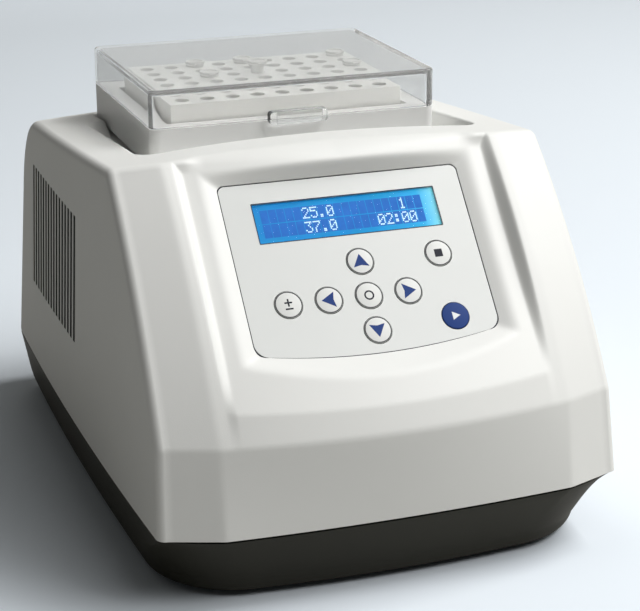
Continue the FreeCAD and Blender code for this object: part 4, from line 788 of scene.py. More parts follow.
def soft_min(a, b, width):
    mix = np.clip(0.5 + 0.5 * (b - a) / width, 0.0, 1.0)
    return b * (1 - mix) + a * mix - width * mix * (1 - mix)


def soft_max(a, b, width):
    return -soft_min(-a, -b, width)


def bevel_height(x, up):
    """How high the recess round the overlay stands above the panel's plane."""
    side = (np.abs(x) - OVERLAY_HALF) * BEVEL_SIDE
    crown = 1 - FASCIA_BULGE / FASCIA_RISE * (x / FASCIA_X) ** 2
    top = (up - OVERLAY_TOP) * BEVEL_TOP * crown
    low = OVERLAY_CENTRE + (OVERLAY_CORNER - OVERLAY_CENTRE) * (x / OVERLAY_HALF) ** 2
    bottom = (low - up) * BEVEL_BOTTOM
    edge = soft_max(soft_max(side, top, BEVEL_BLEND), bottom, BEVEL_BLEND)
    return np.maximum(edge, -0.3)


def column(x, rows, inset=0.0):
    """One column of the skin: its y and z for each row."""
    if abs(x) >= FASCIA_X + GROOVE_WIDTH:
        return profile(x, True, rows, inset)
    middle = profile(x, False, rows, inset)
    if inset:
        if abs(x) <= FASCIA_X:
            return middle
        share = (abs(x) - FASCIA_X) / GROOVE_WIDTH
        return middle + (profile(x, True, rows, inset) - middle) * share
    blended = middle
    if abs(x) > BLEND_X:
        up = (middle - PANEL_PLACE) @ ALONG
        share = smooth((abs(x) - FASCIA_X) / GROOVE_WIDTH)
        beside = smooth((abs(x) - GROOVE_SIDE[0]) / GROOVE_SIDE[1])
        close = smooth((up - GROOVE_END[0]) / GROOVE_END[1]) * beside
        share = np.maximum(share, close * (up < GROOVE_TOP))
        blended = middle + (profile(x, True, rows) - middle) * np.reshape(share, (-1, 1))
    local = blended - PANEL_PLACE
    up, out = local @ ALONG, local @ OUTWARD
    first = 1 + rows.band + rows.bend + rows.slope
    last = first + rows.bend + rows.fascia + rows.brow
    lowered = out.copy()
    lowered[first:last] = soft_min(out[first:last], bevel_height(x, up[first:last]), RECESS_BLEND)
    return blended + np.outer(lowered - out, OUTWARD)


def side_at(y, z, inset=0.0):
    """Half the width of the drafted, bulging side at a place."""
    return HALF_WIDTH - inset - SIDE_BULGE * (y / HALF_DEPTH) ** 2 - (z - SEAM_Z) * SIDE_DRAFT


# Skin of the upper housing, as a grid of rows by columns

# Places of the columns from the middle to the flank, closest together across the groove
FINE_COLUMNS = np.concatenate([np.arange(0, 60, 1.2), np.arange(60, 68, 0.8), np.arange(68, 73.01, 0.5),
                               (74.2, 75.6, 77.0, 78.5, 80.0)])
COARSE_COLUMNS = np.concatenate([np.arange(0, 68, 8.5), (68.0, 73.0, 77.5)])
# How far towards its middle each ring of a side's face lies
SIDE_RINGS = (0.03, 0.08, 0.16, 0.28, 0.44, 0.62, 0.8)


def half_skin(columns, rows, edge, rear_edge, steps, inset=0.0, flank_steps=8):
    """The right half of the skin, as an array of rows by columns of points."""
    inner = np.array([column(x, rows, inset) for x in columns])
    spacing, widest = 3.0, 112.0
    samples = np.arange(columns[-1], widest, spacing)
    flanks = np.array([column(x, rows, inset) for x in samples])
    count = inner.shape[1]

    def flank_at(x):
        place = np.clip((x - samples[0]) / spacing, 0, len(samples) - 1.001)
        low = place.astype(int)
        mix = (place - low)[:, None]
        index = np.arange(count)
        return flanks[low, index] * (1 - mix) + flanks[low + 1, index] * mix

    last_heel = count - rows.rear - 1 - rows.heel
    along = smooth((np.arange(count) - last_heel) / rows.heel)
    radius = edge + (rear_edge - edge) * along
    reach = np.full(count, 100.0)
    for _ in range(6):
        place = flank_at(reach)
        reach = side_at(place[:, 0], place[:, 1], inset) - radius
    tangent = np.gradient(place, axis=0)
    normal = np.stack([-tangent[:, 1], tangent[:, 0]], -1)
    lift = 1 - along
    start = 1 + rows.band
    lift[:start] = 0
    lift[start:start + rows.bend] = np.linspace(0, 1, rows.bend)
    normal[:, 1] *= lift
    normal /= np.linalg.norm(normal, axis=1, keepdims=True)
    points = [np.column_stack([np.full(count, x), line]) for x, line in zip(columns, inner)]
    for step in range(1, flank_steps):
        x = columns[-1] + (reach - columns[-1]) * step / flank_steps
        points.append(np.column_stack([x, flank_at(x)]))
    for angle in quarter(steps):
        flat = place - normal * (radius * (1 - math.cos(angle)))[:, None]
        wide = side_at(flat[:, 0], flat[:, 1], inset) - radius * (1 - math.sin(angle))
        points.append(np.column_stack([wide, flat]))
    return np.stack(points, 1)


def skin_solid(half, rings, bottom_steps, inset=0.0):
    """A closed solid from the right half of the skin: its mirror, both sides and a flat bottom."""
    rows = half.shape[0]
    grid = np.concatenate([half[:, :0:-1] * (-1, 1, 1), half], 1)
    columns = grid.shape[1]
    points = [grid.reshape(-1, 3)]
    faces = []
    for row in range(rows - 1):
        for first in range(row * columns, (row + 1) * columns - 1):
            faces.append((first, first + 1, first + columns + 1, first + columns))
    total = rows * columns
    bottoms = {}
    for hand in (-1, 1):
        edge = columns - 1 if hand > 0 else 0
        front, rear = grid[0, edge], grid[-1, edge]
        line = []
        for step in range(1, bottom_steps):
            y = rear[1] + (front[1] - rear[1]) * step / bottom_steps
            line.append((hand * side_at(y, SEAM_Z, inset), y, SEAM_Z))
        line = np.array(line)
        points.append(line)
        bottoms[hand] = list(range(total, total + len(line)))
        total += len(line)
        before = list(range(edge, rows * columns, columns)) + bottoms[hand]
        flat = np.concatenate([grid[:, edge], line])[:, 1:]
        centre = np.array([0.0, 92.0])
        for share in rings:
            ring = flat + (centre - flat) * share
            points.append(np.column_stack([hand * side_at(ring[:, 0], ring[:, 1], inset), ring]))
            after = list(range(total, total + len(ring)))
            total += len(ring)
            faces += [face[::-hand] for face in band(before, after)]
            before = after
        faces.append(tuple(before[::-hand]))
    rear_row = list(range((rows - 1) * columns, rows * columns))[::-1]
    faces.append(tuple(list(range(columns)) + bottoms[1][::-1] + rear_row + bottoms[-1]))
    return np.concatenate(points), faces


# Settings

def length(label, about, default, low, high):
    about += ", in millimetres"
    return bpy.props.FloatProperty(name=label, description=about, default=default, min=low, max=high)


def power(label, place, default):
    about = "Power of the lamp " + place
    return bpy.props.FloatProperty(name=label, description=about, default=default, min=0.0, unit="POWER")


def figures(label, default):
    about = "Figures in this line of the display"
    return bpy.props.StringProperty(name=label, description=about, default=default)


class DryBathStageSettings(bpy.types.PropertyGroup):
    key_power: power("Key light", "above and to the right", 45.0)
    front_power: power("Front light", "nearer the front", 16.0)
    upper_power: power("Upper light", "above the front", 9.0)
    fill_level: bpy.props.FloatProperty(name="Fill level", description="Strength of the even light all round",
                                        default=0.05, min=0.0, max=1.0)
    lens: length("Lens", "Focal length of the camera", 110.08, 1.0, 1000.0)
    floor_color: bpy.props.FloatVectorProperty(name="Floor colour", description="Colour of the floor",
                                               subtype="COLOR", default=(0.80, 0.86, 0.92), min=0.0, max=1.0)


class DryBathHousingSettings(bpy.types.PropertyGroup):
    edge_radius: length("Edge radius", "Rounding of the side edges", 4.0, 0.5, 5.5)
    rear_radius: length("Rear corner radius", "Rounding of the rear corners", 16.0, 4.0, 20.0)
    rim_radius: length("Rim radius", "Softness of the rim round the tray", 1.6, 0.2, 3.0)


class DryBathBaseSettings(bpy.types.PropertyGroup):
    foot_roll: length("Lower roll", "How far the lower edge rolls in", 4.0, 1.0, 8.0)
    seam_gap: length("Seam gap", "Depth of the line below the upper housing", 0.8, 0.2, 2.0)


class DryBathLidSettings(bpy.types.PropertyGroup):
    edge_radius: length("Edge radius", "Rounding of the upper edges", 1.2, 0.2, 2.5)
    wall: length("Wall", "Thickness of the clear walls", 2.6, 1.0, 2.8)


class DryBathTubeSettings(bpy.types.PropertyGroup):
    raised: length("Raised", "How far the raised tube stands out", 3.4, 0.0, 3.8)


class DryBathDisplaySettings(bpy.types.PropertyGroup):
    upper_line: figures("Upper line", "     25.0        1  ")
    lower_line: figures("Lower line", "     37.0     02:00 ")
    dot_pitch: length("Dot pitch", "Distance between two dots", 0.64, 0.1, 0.7)


SETTINGS = {
    "dry_bath_stage": DryBathStageSettings,
    "dry_bath_housing": DryBathHousingSettings,
    "dry_bath_base": DryBathBaseSettings,
    "dry_bath_lid": DryBathLidSettings,
    "dry_bath_tubes": DryBathTubeSettings,
    "dry_bath_display": DryBathDisplaySettings,
}


# Stage

# Each lamp: its setting, place in metres and colour; all are as wide and aim at one spot
LAMPS = {
    "key": ((1.35, -0.15, 1.98), (1.0, 0.995, 0.985)),
    "front": ((1.2, -1.12, 1.83), (1.0, 1.0, 0.99)),
    "upper": ((0.55, -1.2, 1.9), (1.0, 1.0, 0.99)),
}
LAMP_WIDTH = 1.2
LAMP_AIM = Vector((0, 0, 0.09))
# Camera: direction and roll in degrees, what it aims at and its distance in metres
CAMERA_TURN = (-19.766, 19.1045, -0.2197)
CAMERA_AIM = Vector((0.030279, 0.041465, 0.060146))
CAMERA_DISTANCE = 0.98014
# Floor, in millimetres: half its width, where it ends in front and behind, its height and its bend
FLOOR = (3000.0, -3000.0, 1600.0, 3000.0, 500.0)
BOUNCE_COLOR = (0.48, 0.48, 0.46)


def seen_share(tree):
    """1 for rays from the camera or through clear plastic, 0 for all others."""
    rays = add(tree, "ShaderNodeLightPath").outputs
    return sums(tree)("MAXIMUM", rays["Is Camera Ray"], rays["Is Transmission Ray"])


class DRYBATH_OT_stage(bpy.types.Operator):
    """Lay the floor, hang the backdrop, set the lamps and the camera"""
    bl_idname = "dry_bath.stage"
    bl_label = "Stage"

    def execute(self, context):
        scene = context.scene
        settings = scene.dry_bath_stage
        self.lay_floor(tuple(settings.floor_color))
        self.light_room(scene, settings.fill_level)
        for name, (place, color) in LAMPS.items():
            data = bpy.data.lights.new(name + "_lamp", "AREA")
            data.size = LAMP_WIDTH
            data.energy = getattr(settings, name + "_power")
            data.color = color
            lamp = bpy.data.objects.new(name + "_lamp", data)
            lamp.location = place
            lamp.rotation_euler = (LAMP_AIM - Vector(place)).to_track_quat("-Z", "Y").to_euler()
            scene.collection.objects.link(lamp)
        self.place_camera(scene, settings.lens)
        scene.view_settings.view_transform = "Standard"
        return {"FINISHED"}

    def lay_floor(self, color):
        """A floor that curves up behind; the light it throws back has a plain colour."""
        material = new_material("floor_pale", color, 0.7, {})
        tree = material.node_tree
        lead(material, color_mix(tree, seen_share(tree), BOUNCE_COLOR, color), "Base Color")
        wide, near, far, tall, bow = FLOOR
        section = [(near, 0.0)]
        for angle in quarter(12):
            section.append((far - bow + bow * math.sin(angle), bow - bow * math.cos(angle)))
        section.append((far, tall))
        points = [(side * wide, y, z) for y, z in section for side in (-1, 1)]
        faces = [(2 * row, 2 * row + 1, 2 * row + 3, 2 * row + 2) for row in range(len(section) - 1)]
        floor = linked_mesh("floor", points, faces)
        floor.data.materials.append(material)
        for face in floor.data.polygons:
            face.use_smooth = True

    def light_room(self, scene, fill):
        """A pale backdrop that gives hardly any light of its own."""
        scene.world = bpy.data.worlds.new("room")
        scene.world.use_nodes = True
        tree = scene.world.node_tree
        back = tree.nodes["Background"]
        back.inputs["Color"].default_value = (1.0, 1.0, 0.99, 1.0)
        tree.links.new(map_range(tree, seen_share(tree), first=fill), back.inputs["Strength"])

    def place_camera(self, scene, lens):
        azimuth, elevation, roll = (math.radians(angle) for angle in CAMERA_TURN)
        back = Vector((math.sin(azimuth) * math.cos(elevation), -math.cos(azimuth) * math.cos(elevation),
                       math.sin(elevation)))
        level = (-back).cross(Vector((0, 0, 1))).normalized()
        rise = level.cross(-back)
        right = level * math.cos(roll) + rise * math.sin(roll)
        up = rise * math.cos(roll) - level * math.sin(roll)
        place = CAMERA_AIM + back * CAMERA_DISTANCE
        data = bpy.data.cameras.new("camera")
        data.lens = lens
        data.sensor_width = 36.0
        data.clip_end = 20.0
        camera = bpy.data.objects.new("camera", data)
        rows = [(right[axis], up[axis], back[axis], place[axis]) for axis in range(3)]
        camera.matrix_world = Matrix([*rows, (0, 0, 0, 1)])
        scene.collection.objects.link(camera)
        scene.camera = camera


# Finishes

# Carried-over pieces whose moulded edges are softened, with the radius in millimetres
ROUNDED = {
    "block_collar": 0.7, "hinge_brackets": 0.3, "heating_block": 0.35, "rear_panel": 0.3, "mains_inlet": 0.3,
    "switch_frame": 0.35, "fuse_holder": 0.3, "fan_frame": 0.3, "rubber_feet": 0.3,
}


class DRYBATH_OT_finishes(bpy.types.Operator):
    """Give every carried-over piece its own finish"""
    bl_idname = "dry_bath.finishes"
    bl_label = "Finishes"

    def execute(self, context):
        for name, node in NODES.items():
            node.data.materials.clear()
            node.data.materials.append(MATERIALS[SLOT_OF[name]])
            if name in ROUNDED:
                edge = node.modifiers.new("round edges", "BEVEL")
                edge.width = ROUNDED[name] * MM
                edge.segments = 3
                edge.limit_method = "ANGLE"
                edge.angle_limit = math.radians(40)
                edge.harden_normals = True
                edge.use_clamp_overlap = True
        return {"FINISHED"}


# Display

GLYPHS = {
    "0": ("01110", "10001", "10011", "10101", "11001", "10001", "01110"),
    "1": ("00100", "01100", "00100", "00100", "00100", "00100", "01110"),
    "2": ("01110", "10001", "00001", "00010", "00100", "01000", "11111"),
    "3": ("11111", "00010", "00100", "00010", "00001", "10001", "01110"),
    "5": ("11111", "10000", "11110", "00001", "00001", "10001", "01110"),
    "7": ("11111", "00001", "00010", "00100", "01000", "01000", "01000"),
    ".": ("00000", "00000", "00000", "00000", "00000", "01100", "01100"),
    ":": ("00000", "01100", "01100", "00000", "01100", "01100", "00000"),
}


# The tiles' node tree: its nodes, and its links from an output to an input
TILE_NODES = {
    "start": "NodeGroupInput", "size": "ShaderNodeCombineXYZ", "tile": "GeometryNodeMeshCube",
    "turn": "ShaderNodeCombineXYZ", "copies": "GeometryNodeInstanceOnPoints",
    "real": "GeometryNodeRealizeInstances", "paint": "GeometryNodeSetMaterial", "end": "NodeGroupOutput",
}
TILE_LINKS = [
    ("start", "Width", "size", "X"), ("start", "Height", "size", "Y"), ("start", "Thickness", "size", "Z"),
    ("size", "Vector", "tile", "Size"), ("tile", "Mesh", "copies", "Instance"),
    ("start", "Geometry", "copies", "Points"),
    ("start", "Tilt", "turn", "X"), ("turn", "Vector", "copies", "Rotation"),
    ("copies", "Instances", "real", "Geometry"), ("real", "Geometry", "paint", "Geometry"),
    ("paint", "Geometry", "end", "Geometry"),
]


def placed_tiles(name, points, size):
    """Flat tiles on points of the panel, laid by a node tree and turned into a plain mesh."""
    piece = linked_mesh(name, on_panel(points))
    tree = bpy.data.node_groups.new(name + "_tree", "GeometryNodeTree")
    for way in ("INPUT", "OUTPUT"):
        tree.interface.new_socket("Geometry", in_out=way, socket_type="NodeSocketGeometry")
    nodes = {label: tree.nodes.new(kind) for label, kind in TILE_NODES.items()}
    nodes["paint"].inputs["Material"].default_value = MATERIALS[name]
    modifier = piece.modifiers.new("tiles", "NODES")
    values = {"Width": size[0] * MM, "Height": size[1] * MM, "Thickness": size[2] * MM, "Tilt": PANEL_TILT}
    sockets = [tree.interface.new_socket(label, in_out="INPUT", socket_type="NodeSocketFloat")
               for label in values]
    for source, output, target, entry in TILE_LINKS:
        tree.links.new(nodes[source].outputs[output], nodes[target].inputs[entry])
    modifier.node_group = tree
    for socket, value in zip(sockets, values.values()):
        modifier[socket.identifier] = value
    bake(piece)
    return piece


class DRYBATH_OT_display(bpy.types.Operator):
    """Fill the display with its character cells and figures"""
    bl_idname = "dry_bath.display"
    bl_label = "Display"

    def execute(self, context):
        settings = context.scene.dry_bath_display
        pitch = settings.dot_pitch
        cells, dots = [], []
        for middle, words in ((LINE_HEIGHT, settings.upper_line), (-LINE_HEIGHT, settings.lower_line)):
            for place, word in enumerate(words):
                x = (place - (len(words) - 1) / 2) * CELL_PITCH + CELL_SHIFT
                cells.append((x, middle, CELL_HEIGHT))
                for row, bits in enumerate(GLYPHS.get(word, ())):
                    up = middle + (3 - row) * pitch * DOT_STRETCH
                    lit = [step for step in range(5) if bits[step] == "1"]
                    dots += [(x + (step - 2) * pitch, up, DOT_HEIGHT) for step in lit]
        for piece in (placed_tiles("display_cells", cells, CELL_SIZE),
                      placed_tiles("display_dots", dots, (pitch * 0.8, pitch * 0.95, 0.03))):
            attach(piece, HOUSING)
        border = frame_strip(rounded_ring(*BORDER[0]), rounded_ring(*BORDER[1]), -0.1, 0.04)
        # Painted shade: a dark strip down in the gap round the overlay, where the gap's shadow falls
        edge = frame_strip(overlay_outline(0.42), overlay_outline(0.03), -0.7, -0.1)
        for name, part in (("display_border", border), ("overlay_edge", edge)):
            new_piece(name, panel_part(part), "ink_dark", HOUSING, 20)
        return {"FINISHED"}


# Keys

def key_outline(inset):
    return circle_ring(KEY_DIAMETER - 2 * inset, 64)


def arrow(angle):
    """An arrow head that points up, turned by an angle in degrees."""
    turn = math.radians(angle)
    spin = np.array([[math.cos(turn), math.sin(turn)], [-math.sin(turn), math.cos(turn)]])
    return np.array([(-3.5, -2.6), (0.0, -1.9), (3.5, -2.6), (0.0, 3.4)]) @ spin


def bar(width, height, up=0.0):
    return np.array([(side * width / 2, up + end * height / 2)
                     for side, end in ((-1, -1), (1, -1), (1, 1), (-1, 1))])


# The signs' outlines; the middle key has a ring instead
SIGNS = {
    "key_up": [arrow(0)],
    "key_down": [arrow(180)],
    "key_left": [arrow(90)],
    "key_right": [arrow(-90)],
    "key_set": [],
    "key_adjust": [bar(3.4, 0.7, 0.9), bar(0.7, 1.35, 1.93), bar(0.7, 1.35, -0.13), bar(3.4, 0.7, -1.9)],
    "key_stop": [bar(3.6, 3.6)],
    "key_start": [np.array([(-1.4, -1.9), (2.1, 0.0), (-1.4, 1.9)])],
}
INKS = {"key_set": "ink_dark", "key_adjust": "ink_dark", "key_stop": "ink_dark", "key_start": "ink_white"}


class DRYBATH_OT_keys(bpy.types.Operator):
    """Shape the round keys and print their signs"""
    bl_idname = "dry_bath.keys"
    bl_label = "Keys"

    def execute(self, context):
        foot, flange, shoulder, face = KEY_LEVELS
        for name, spot in KEY_SPOTS.items():
            material = "key_blue" if name == "key_start" else "key_white"
            cap = join_parts([stacked(slab_rings(key_outline, shoulder, face, KEY_EDGE)),
                              round_bar(KEY_FLANGE, flange, shoulder, 64), round_bar(KEY_STEM, foot, flange)])
            key = new_piece(name + "_cap", panel_part(cap, *spot), material, name, 50)
            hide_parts(name)
            prints = [prism(sign, *SIGN_LEVELS) for sign in SIGNS[name]]
            if name == "key_set":
                prints.append(frame_strip(circle_ring(SIGN_RING[0]), circle_ring(SIGN_RING[1]), *SIGN_LEVELS))
            sign = panel_part(join_parts(prints), *spot)
            new_piece(name + "_sign", sign, INKS.get(name, "ink_blue"), name, 20)
            if name != "key_start":
                rim = frame_strip(circle_ring(RIM_RING[0], 64), circle_ring(RIM_RING[1], 64), *RIM_LEVELS)
                new_piece(name + "_rim", panel_part(rim, *spot), "ink_dark", name, 20)
        return {"FINISHED"}


# Upper housing

def tray_outline(half, front, arch, rear, corner, steps=7):
    """A plan outline with round corners and a front edge that arches back in the middle."""
    across = half - corner
    ends = front + corner, rear - corner
    points = []
    for x, y, start in ((1, 1, 0), (-1, 1, 90), (-1, -1, 180), (1, -1, 270)):
        for angle in quarter(steps, start):
            points.append((x * across + corner * math.cos(angle), ends[y > 0] + corner * math.sin(angle)))
        if x > 0 and y > 0:
            points += [(across * (1 - step / 12), rear) for step in range(1, 24)]
        elif x < 0 and y < 0:
            shares = [step / 12 - 1 for step in range(1, 24)]
            points += [(share * across, front + arch * (1 - share * share)) for share in shares]
        else:
            first, last = ends[::x]
            points += [(x * half, first + (last - first) * step / 16) for step in range(1, 16)]
    return np.array(points)


def flared_cutter(low, high, floor, rise, rim):
    """A cutter from its floor outline out through its upper one, opening softly where it meets the top."""
    way = high - low
    after = np.roll(low, -1, axis=0) - np.roll(low, 1, axis=0)
    outward = np.stack([after[:, 1], -after[:, 0]], -1)
    outward /= np.linalg.norm(outward, axis=1, keepdims=True)
    share = np.full(len(low), 1.0)
    for _ in range(12):
        spot = low + way * share[:, None]
        share = (top_height(spot[:, 0], spot[:, 1]) - floor) / rise
    lean = np.arctan2(np.sum(way * outward, axis=1), rise)
    turn = math.pi / 2 - lean
    foot = share - rim * np.tan(turn / 2) * np.cos(lean) / rise
    rings = [at_height(low, floor)]
    for step in (0.35, 0.7, 1.0):
        rings.append(np.column_stack([low + way * (foot * step)[:, None], floor + rise * (foot * step)]))
    for step in range(1, 8):
        angle = turn * step / 8
        side = rim * (np.cos(lean) - np.cos(lean + angle))
        up = rim * (np.sin(lean + angle) - np.sin(lean))
        place = low + way * foot[:, None] + outward * side[:, None]
        rings.append(np.column_stack([place, floor + rise * foot + up]))
    rings.append(rings[-1] + np.column_stack([outward * 0.25, np.full(len(low), 0.06)]))
    rings.append(at_height(rings[-1][:, :2], TOP_Z + 12))
    return stacked(rings)


def tray_cutters(grow, rim):
    """The sunk place round the collar: its footprint, and finger room beside and before it."""
    half_x = LID_WIDTH / 2 + COLLAR_GAP + grow
    half_y = LID_DEPTH / 2 + COLLAR_GAP + grow
    corner = LID_CORNER + COLLAR_GAP + grow
    floor = RECESS_FLOOR - grow
    low, high = (tray_outline(half_x + more, COLLAR_Y - half_y - more, 0.01, COLLAR_Y + half_y + more, corner)
                 for more in (0.0, 0.05))
    foot = flared_cutter(low, high, floor, TRAY_RISE, rim)
    lean = TRAY_RISE * math.tan(math.radians(11))
    back = TRAY_RISE / math.tan(math.radians(27))
    wide, front, rear = TRAY_HALF + grow, COLLAR_Y - TRAY_FRONT - grow, COLLAR_Y + TRAY_REAR + grow
    low = tray_outline(wide, front, TRAY_ARCH, rear, TRAY_CORNER)
    high = tray_outline(wide + lean, front - lean, TRAY_ARCH, rear + back, TRAY_CORNER + lean)
    return foot, flared_cutter(low, high, floor, TRAY_RISE, rim)


def overlay_outline(grow, steps=8):
    """The overlay's outline on the panel, spread outwards, with its bowed lower edge."""
    half = OVERLAY_HALF + grow
    top = OVERLAY_TOP + grow
    corner = OVERLAY_CORNER - grow
    centre = OVERLAY_CENTRE - grow
    upper, lower = 3.0, 5.5
    points = []
    for x, start in ((1, 0), (-1, 90)):
        for angle in quarter(steps, start):
            points.append((x * (half - upper) + upper * math.cos(angle),
                           top - upper + upper * math.sin(angle)))
    tilt = math.atan2(corner - centre, half)
    for step, angle in enumerate(quarter(steps, 180)):
        angle += tilt * step / steps
        points.append((lower - half + lower * math.cos(angle), corner + lower * (1 + math.sin(angle))))
    bow = corner + (centre - corner) * lower / half
    for step in range(1, 40):
        share = step / 20 - 1
        edge = corner + (centre - corner) * (1 - share * share)
        points.append((share * (half - lower), min(edge, bow) if abs(share) > 0.98 else edge))
    for step, angle in enumerate(quarter(steps, 270)):
        angle -= tilt * (1 - step / steps)
        points.append((half - lower + lower * math.cos(angle), corner + lower * (1 + math.sin(angle))))
    return np.array(points)


class DRYBATH_OT_housing(bpy.types.Operator):
    """Model the upper housing as one smooth moulded shell"""
    bl_idname = "dry_bath.housing"
    bl_label = "Upper housing"

    def execute(self, context):
        settings = context.scene.dry_bath_housing
        low, high = (np.array(corner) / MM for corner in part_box("rear_panel"))
        half = half_skin(FINE_COLUMNS, FINE, settings.edge_radius, settings.rear_radius, 8)
        skin = skin_solid(half, SIDE_RINGS, 30)
        shell = new_piece("upper_shell", skin, "shell_white", HOUSING, 35)
        cavity = self.cavity(settings.rear_radius - WALL)
        grown = [cutting_piece("grown", [part]) for part in tray_cutters(WALL, 0.3)]
        frame_part = block_part((-high[0], high[0]), (high[1], 170), (low[2], high[2]))
        carve(cavity, grown + [cutting_piece("rear_frame", [frame_part])])
        carve(shell, [cavity])
        carve(shell, [cutting_piece("tray", [part]) for part in tray_cutters(0.0, settings.rim_radius)])
        pocket = panel_part(prism(overlay_outline(OVERLAY_SPREAD), -1.02, 1.2))
        carve(shell, [cutting_piece("pocket", [pocket])])
        carve(shell, [cutting_piece("openings", self.openings(low, high))])
        smooth_edges(shell.data, 35)
        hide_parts("top_housing")
        return {"FINISHED"}

    def cavity(self, rear_radius):
        """The hollow of the shell, open below."""
        half = half_skin(COARSE_COLUMNS, COARSE, 1.5, rear_radius, 2, WALL, 3)
        half[0, :, 2] = half[-1, :, 2] = SEAM_Z - 1
        points, faces = skin_solid(half, (0.5,), 4, WALL)
        points[points[:, 2] <= SEAM_Z, 2] = SEAM_Z - 1
        return cutting_piece("cavity", [(points, faces)])

    def openings(self, low, high):
        """The window, the keys' holes, the block's neck, the rear panel's place and the vents."""
        parts = [panel_part(prism(rounded_ring(*WINDOW, 0.5), *PANEL_CUT))]
        parts += [panel_part(round_bar(KEY_HOLE, *PANEL_CUT, 48), *spot) for spot in KEY_SPOTS.values()]
        neck_x, neck_y = NECK[0] / 2, NECK[1] / 2
        middle = COLLAR_Y - 3
        parts.append(block_part((-neck_x, neck_x), (middle - neck_y, middle + neck_y), (140, 160)))
        parts.append(block_part((4 - high[0], high[0] - 4), (125, 165), (low[2] + 4, high[2] - 4)))
        for step in range(VENT_COUNT):
            y = COLLAR_Y + VENT_SHIFT + (step - (VENT_COUNT - 1) / 2) * VENT_PITCH
            for limits in (VENT_REACH, (-VENT_REACH[1], -VENT_REACH[0])):
                parts.append(block_part(limits, (y - VENT_HALF, y + VENT_HALF), VENT_HEIGHTS))
        return parts


# Lower shell

def base_outline(low, inset):
    """The lower shell's plan at the seam, or low down where its corners are round; an arc for each side."""
    front_inset = inset + (BASE_FRONT_TAPER if low else 0.0)
    inset = inset + (BASE_TAPER if low else 0.0)
    half = HALF_WIDTH - inset
    nose = front_inset - HALF_DEPTH
    tail = HALF_DEPTH - inset
    rear_corner = REAR_CORNER - inset / 2
    if low:
        first = np.array([half - BASE_CORNER, nose + SEAM_BULGE])
        last = np.array([half - SIDE_BULGE / 2, first[1] + BASE_CORNER])
        nip = BASE_CORNER * (1 - math.sqrt(0.5))
        middle = np.array([last[0] - nip, first[1] + nip])
    else:
        first = np.array([RIDGE_X, nose + SEAM_BULGE])
        x = half - SIDE_BULGE * (first[1] / HALF_DEPTH) ** 2
        last = np.array([x, first[1] + (x - first[0]) * FLANK_SWEEP])
        middle = (first + last) / 2 - (0, 0.01)
    side = np.array([half, (last[1] + tail - rear_corner) / 2])
    heel = np.array([half - SIDE_BULGE * ((tail - rear_corner) / HALF_DEPTH) ** 2, tail - rear_corner])
    nip = rear_corner * (1 - math.sqrt(0.5))
    turn = heel + (-nip, rear_corner - nip)
    end = heel + (-rear_corner, rear_corner)
    whole = arc_run(first * (-1, 1), (0.0, nose), first, np.linspace(0, 1, 61))
    right = np.concatenate([arc_run(*three, np.linspace(0, 1, count)[1:]) for three, count in (
        ((first, middle, last), 25), ((last, side, heel), 49), ((heel, turn, end), 13))])
    rear = np.column_stack([np.linspace(end[0], -end[0], 41)[1:-1], np.full(39, tail)])
    left = (right * (-1, 1))[::-1]
    return np.concatenate([whole[:-1], [first], right, rear, left])


def base_rings(low_z, roll, seam):
    """Rings of the lower shell from its underside up to the seam."""
    top = base_outline(False, 0.0)
    low = base_outline(True, 0.0)

    def ring(z, more):
        share = (SEAM_Z - z) / (SEAM_Z - BASE_EDGE_Z)
        return at_height(shrink(top + (low - top) * min(share, 1.0), more), z)

    rings = []
    for angle in quarter(8):
        z = low_z + (BASE_EDGE_Z + 3 - low_z) * (1 - math.cos(angle))
        rings.append(ring(z, roll * (1 - math.sin(angle))))
    rings += [ring(z, 0.0) for z in np.linspace(BASE_EDGE_Z + 3, SEAM_Z - 1.5, 7)[1:]]
    return rings + [ring(SEAM_Z - 1.1, 0.12), ring(SEAM_Z - 0.95, seam), ring(SEAM_Z - 0.02, seam)]


def shrink(flat, distance):
    """A plan outline moved inwards by a distance."""
    if not distance:
        return flat
    after = np.roll(flat, -1, axis=0) - np.roll(flat, 1, axis=0)
    inward = np.stack([-after[:, 1], after[:, 0]], -1)
    return flat + inward / np.linalg.norm(inward, axis=1, keepdims=True) * distance


class DRYBATH_OT_base(bpy.types.Operator):
    """Model the dark lower shell with its rolled lower edge"""
    bl_idname = "dry_bath.base"
    bl_label = "Lower shell"

    def execute(self, context):
        settings = context.scene.dry_bath_base
        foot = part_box("base_housing")[0][2] / MM
        outer = base_rings(foot, settings.foot_roll, settings.seam_gap)
        inner = [at_height(shrink(outer[-1][:, :2], WALL), SEAM_Z - 0.02)]
        for z in np.linspace(SEAM_Z - 1.5, foot + WALL, 6):
            near = min(outer, key=lambda ring: abs(ring[0, 2] - z))
            inner.append(at_height(shrink(near[:, :2], WALL), z))
        shell = new_piece("lower_shell", stacked(outer + inner), "base_dark", HOUSING, 35)
        diameter, depth = SCREW_WELL
        tools = [cutting_piece("screw_well", [place_at(round_bar(diameter, 0, foot + depth), x, y)])
                 for x, y in CASE_SCREWS]
        slots = []
        for step in range(FAN_SLOTS):
            x = (step - (FAN_SLOTS - 1) / 2) * VENT_PITCH
            across = (x - FAN_SLOT_HALF, x + FAN_SLOT_HALF)
            slots.append(block_part(across, FAN_SLOT_RUN, (0, foot + WALL + 1)))
        carve(shell, tools + [cutting_piece("floor_slots", slots)])
        smooth_edges(shell.data, 35)
        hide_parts("base_housing")
        return {"FINISHED"}


# Tubes and lid

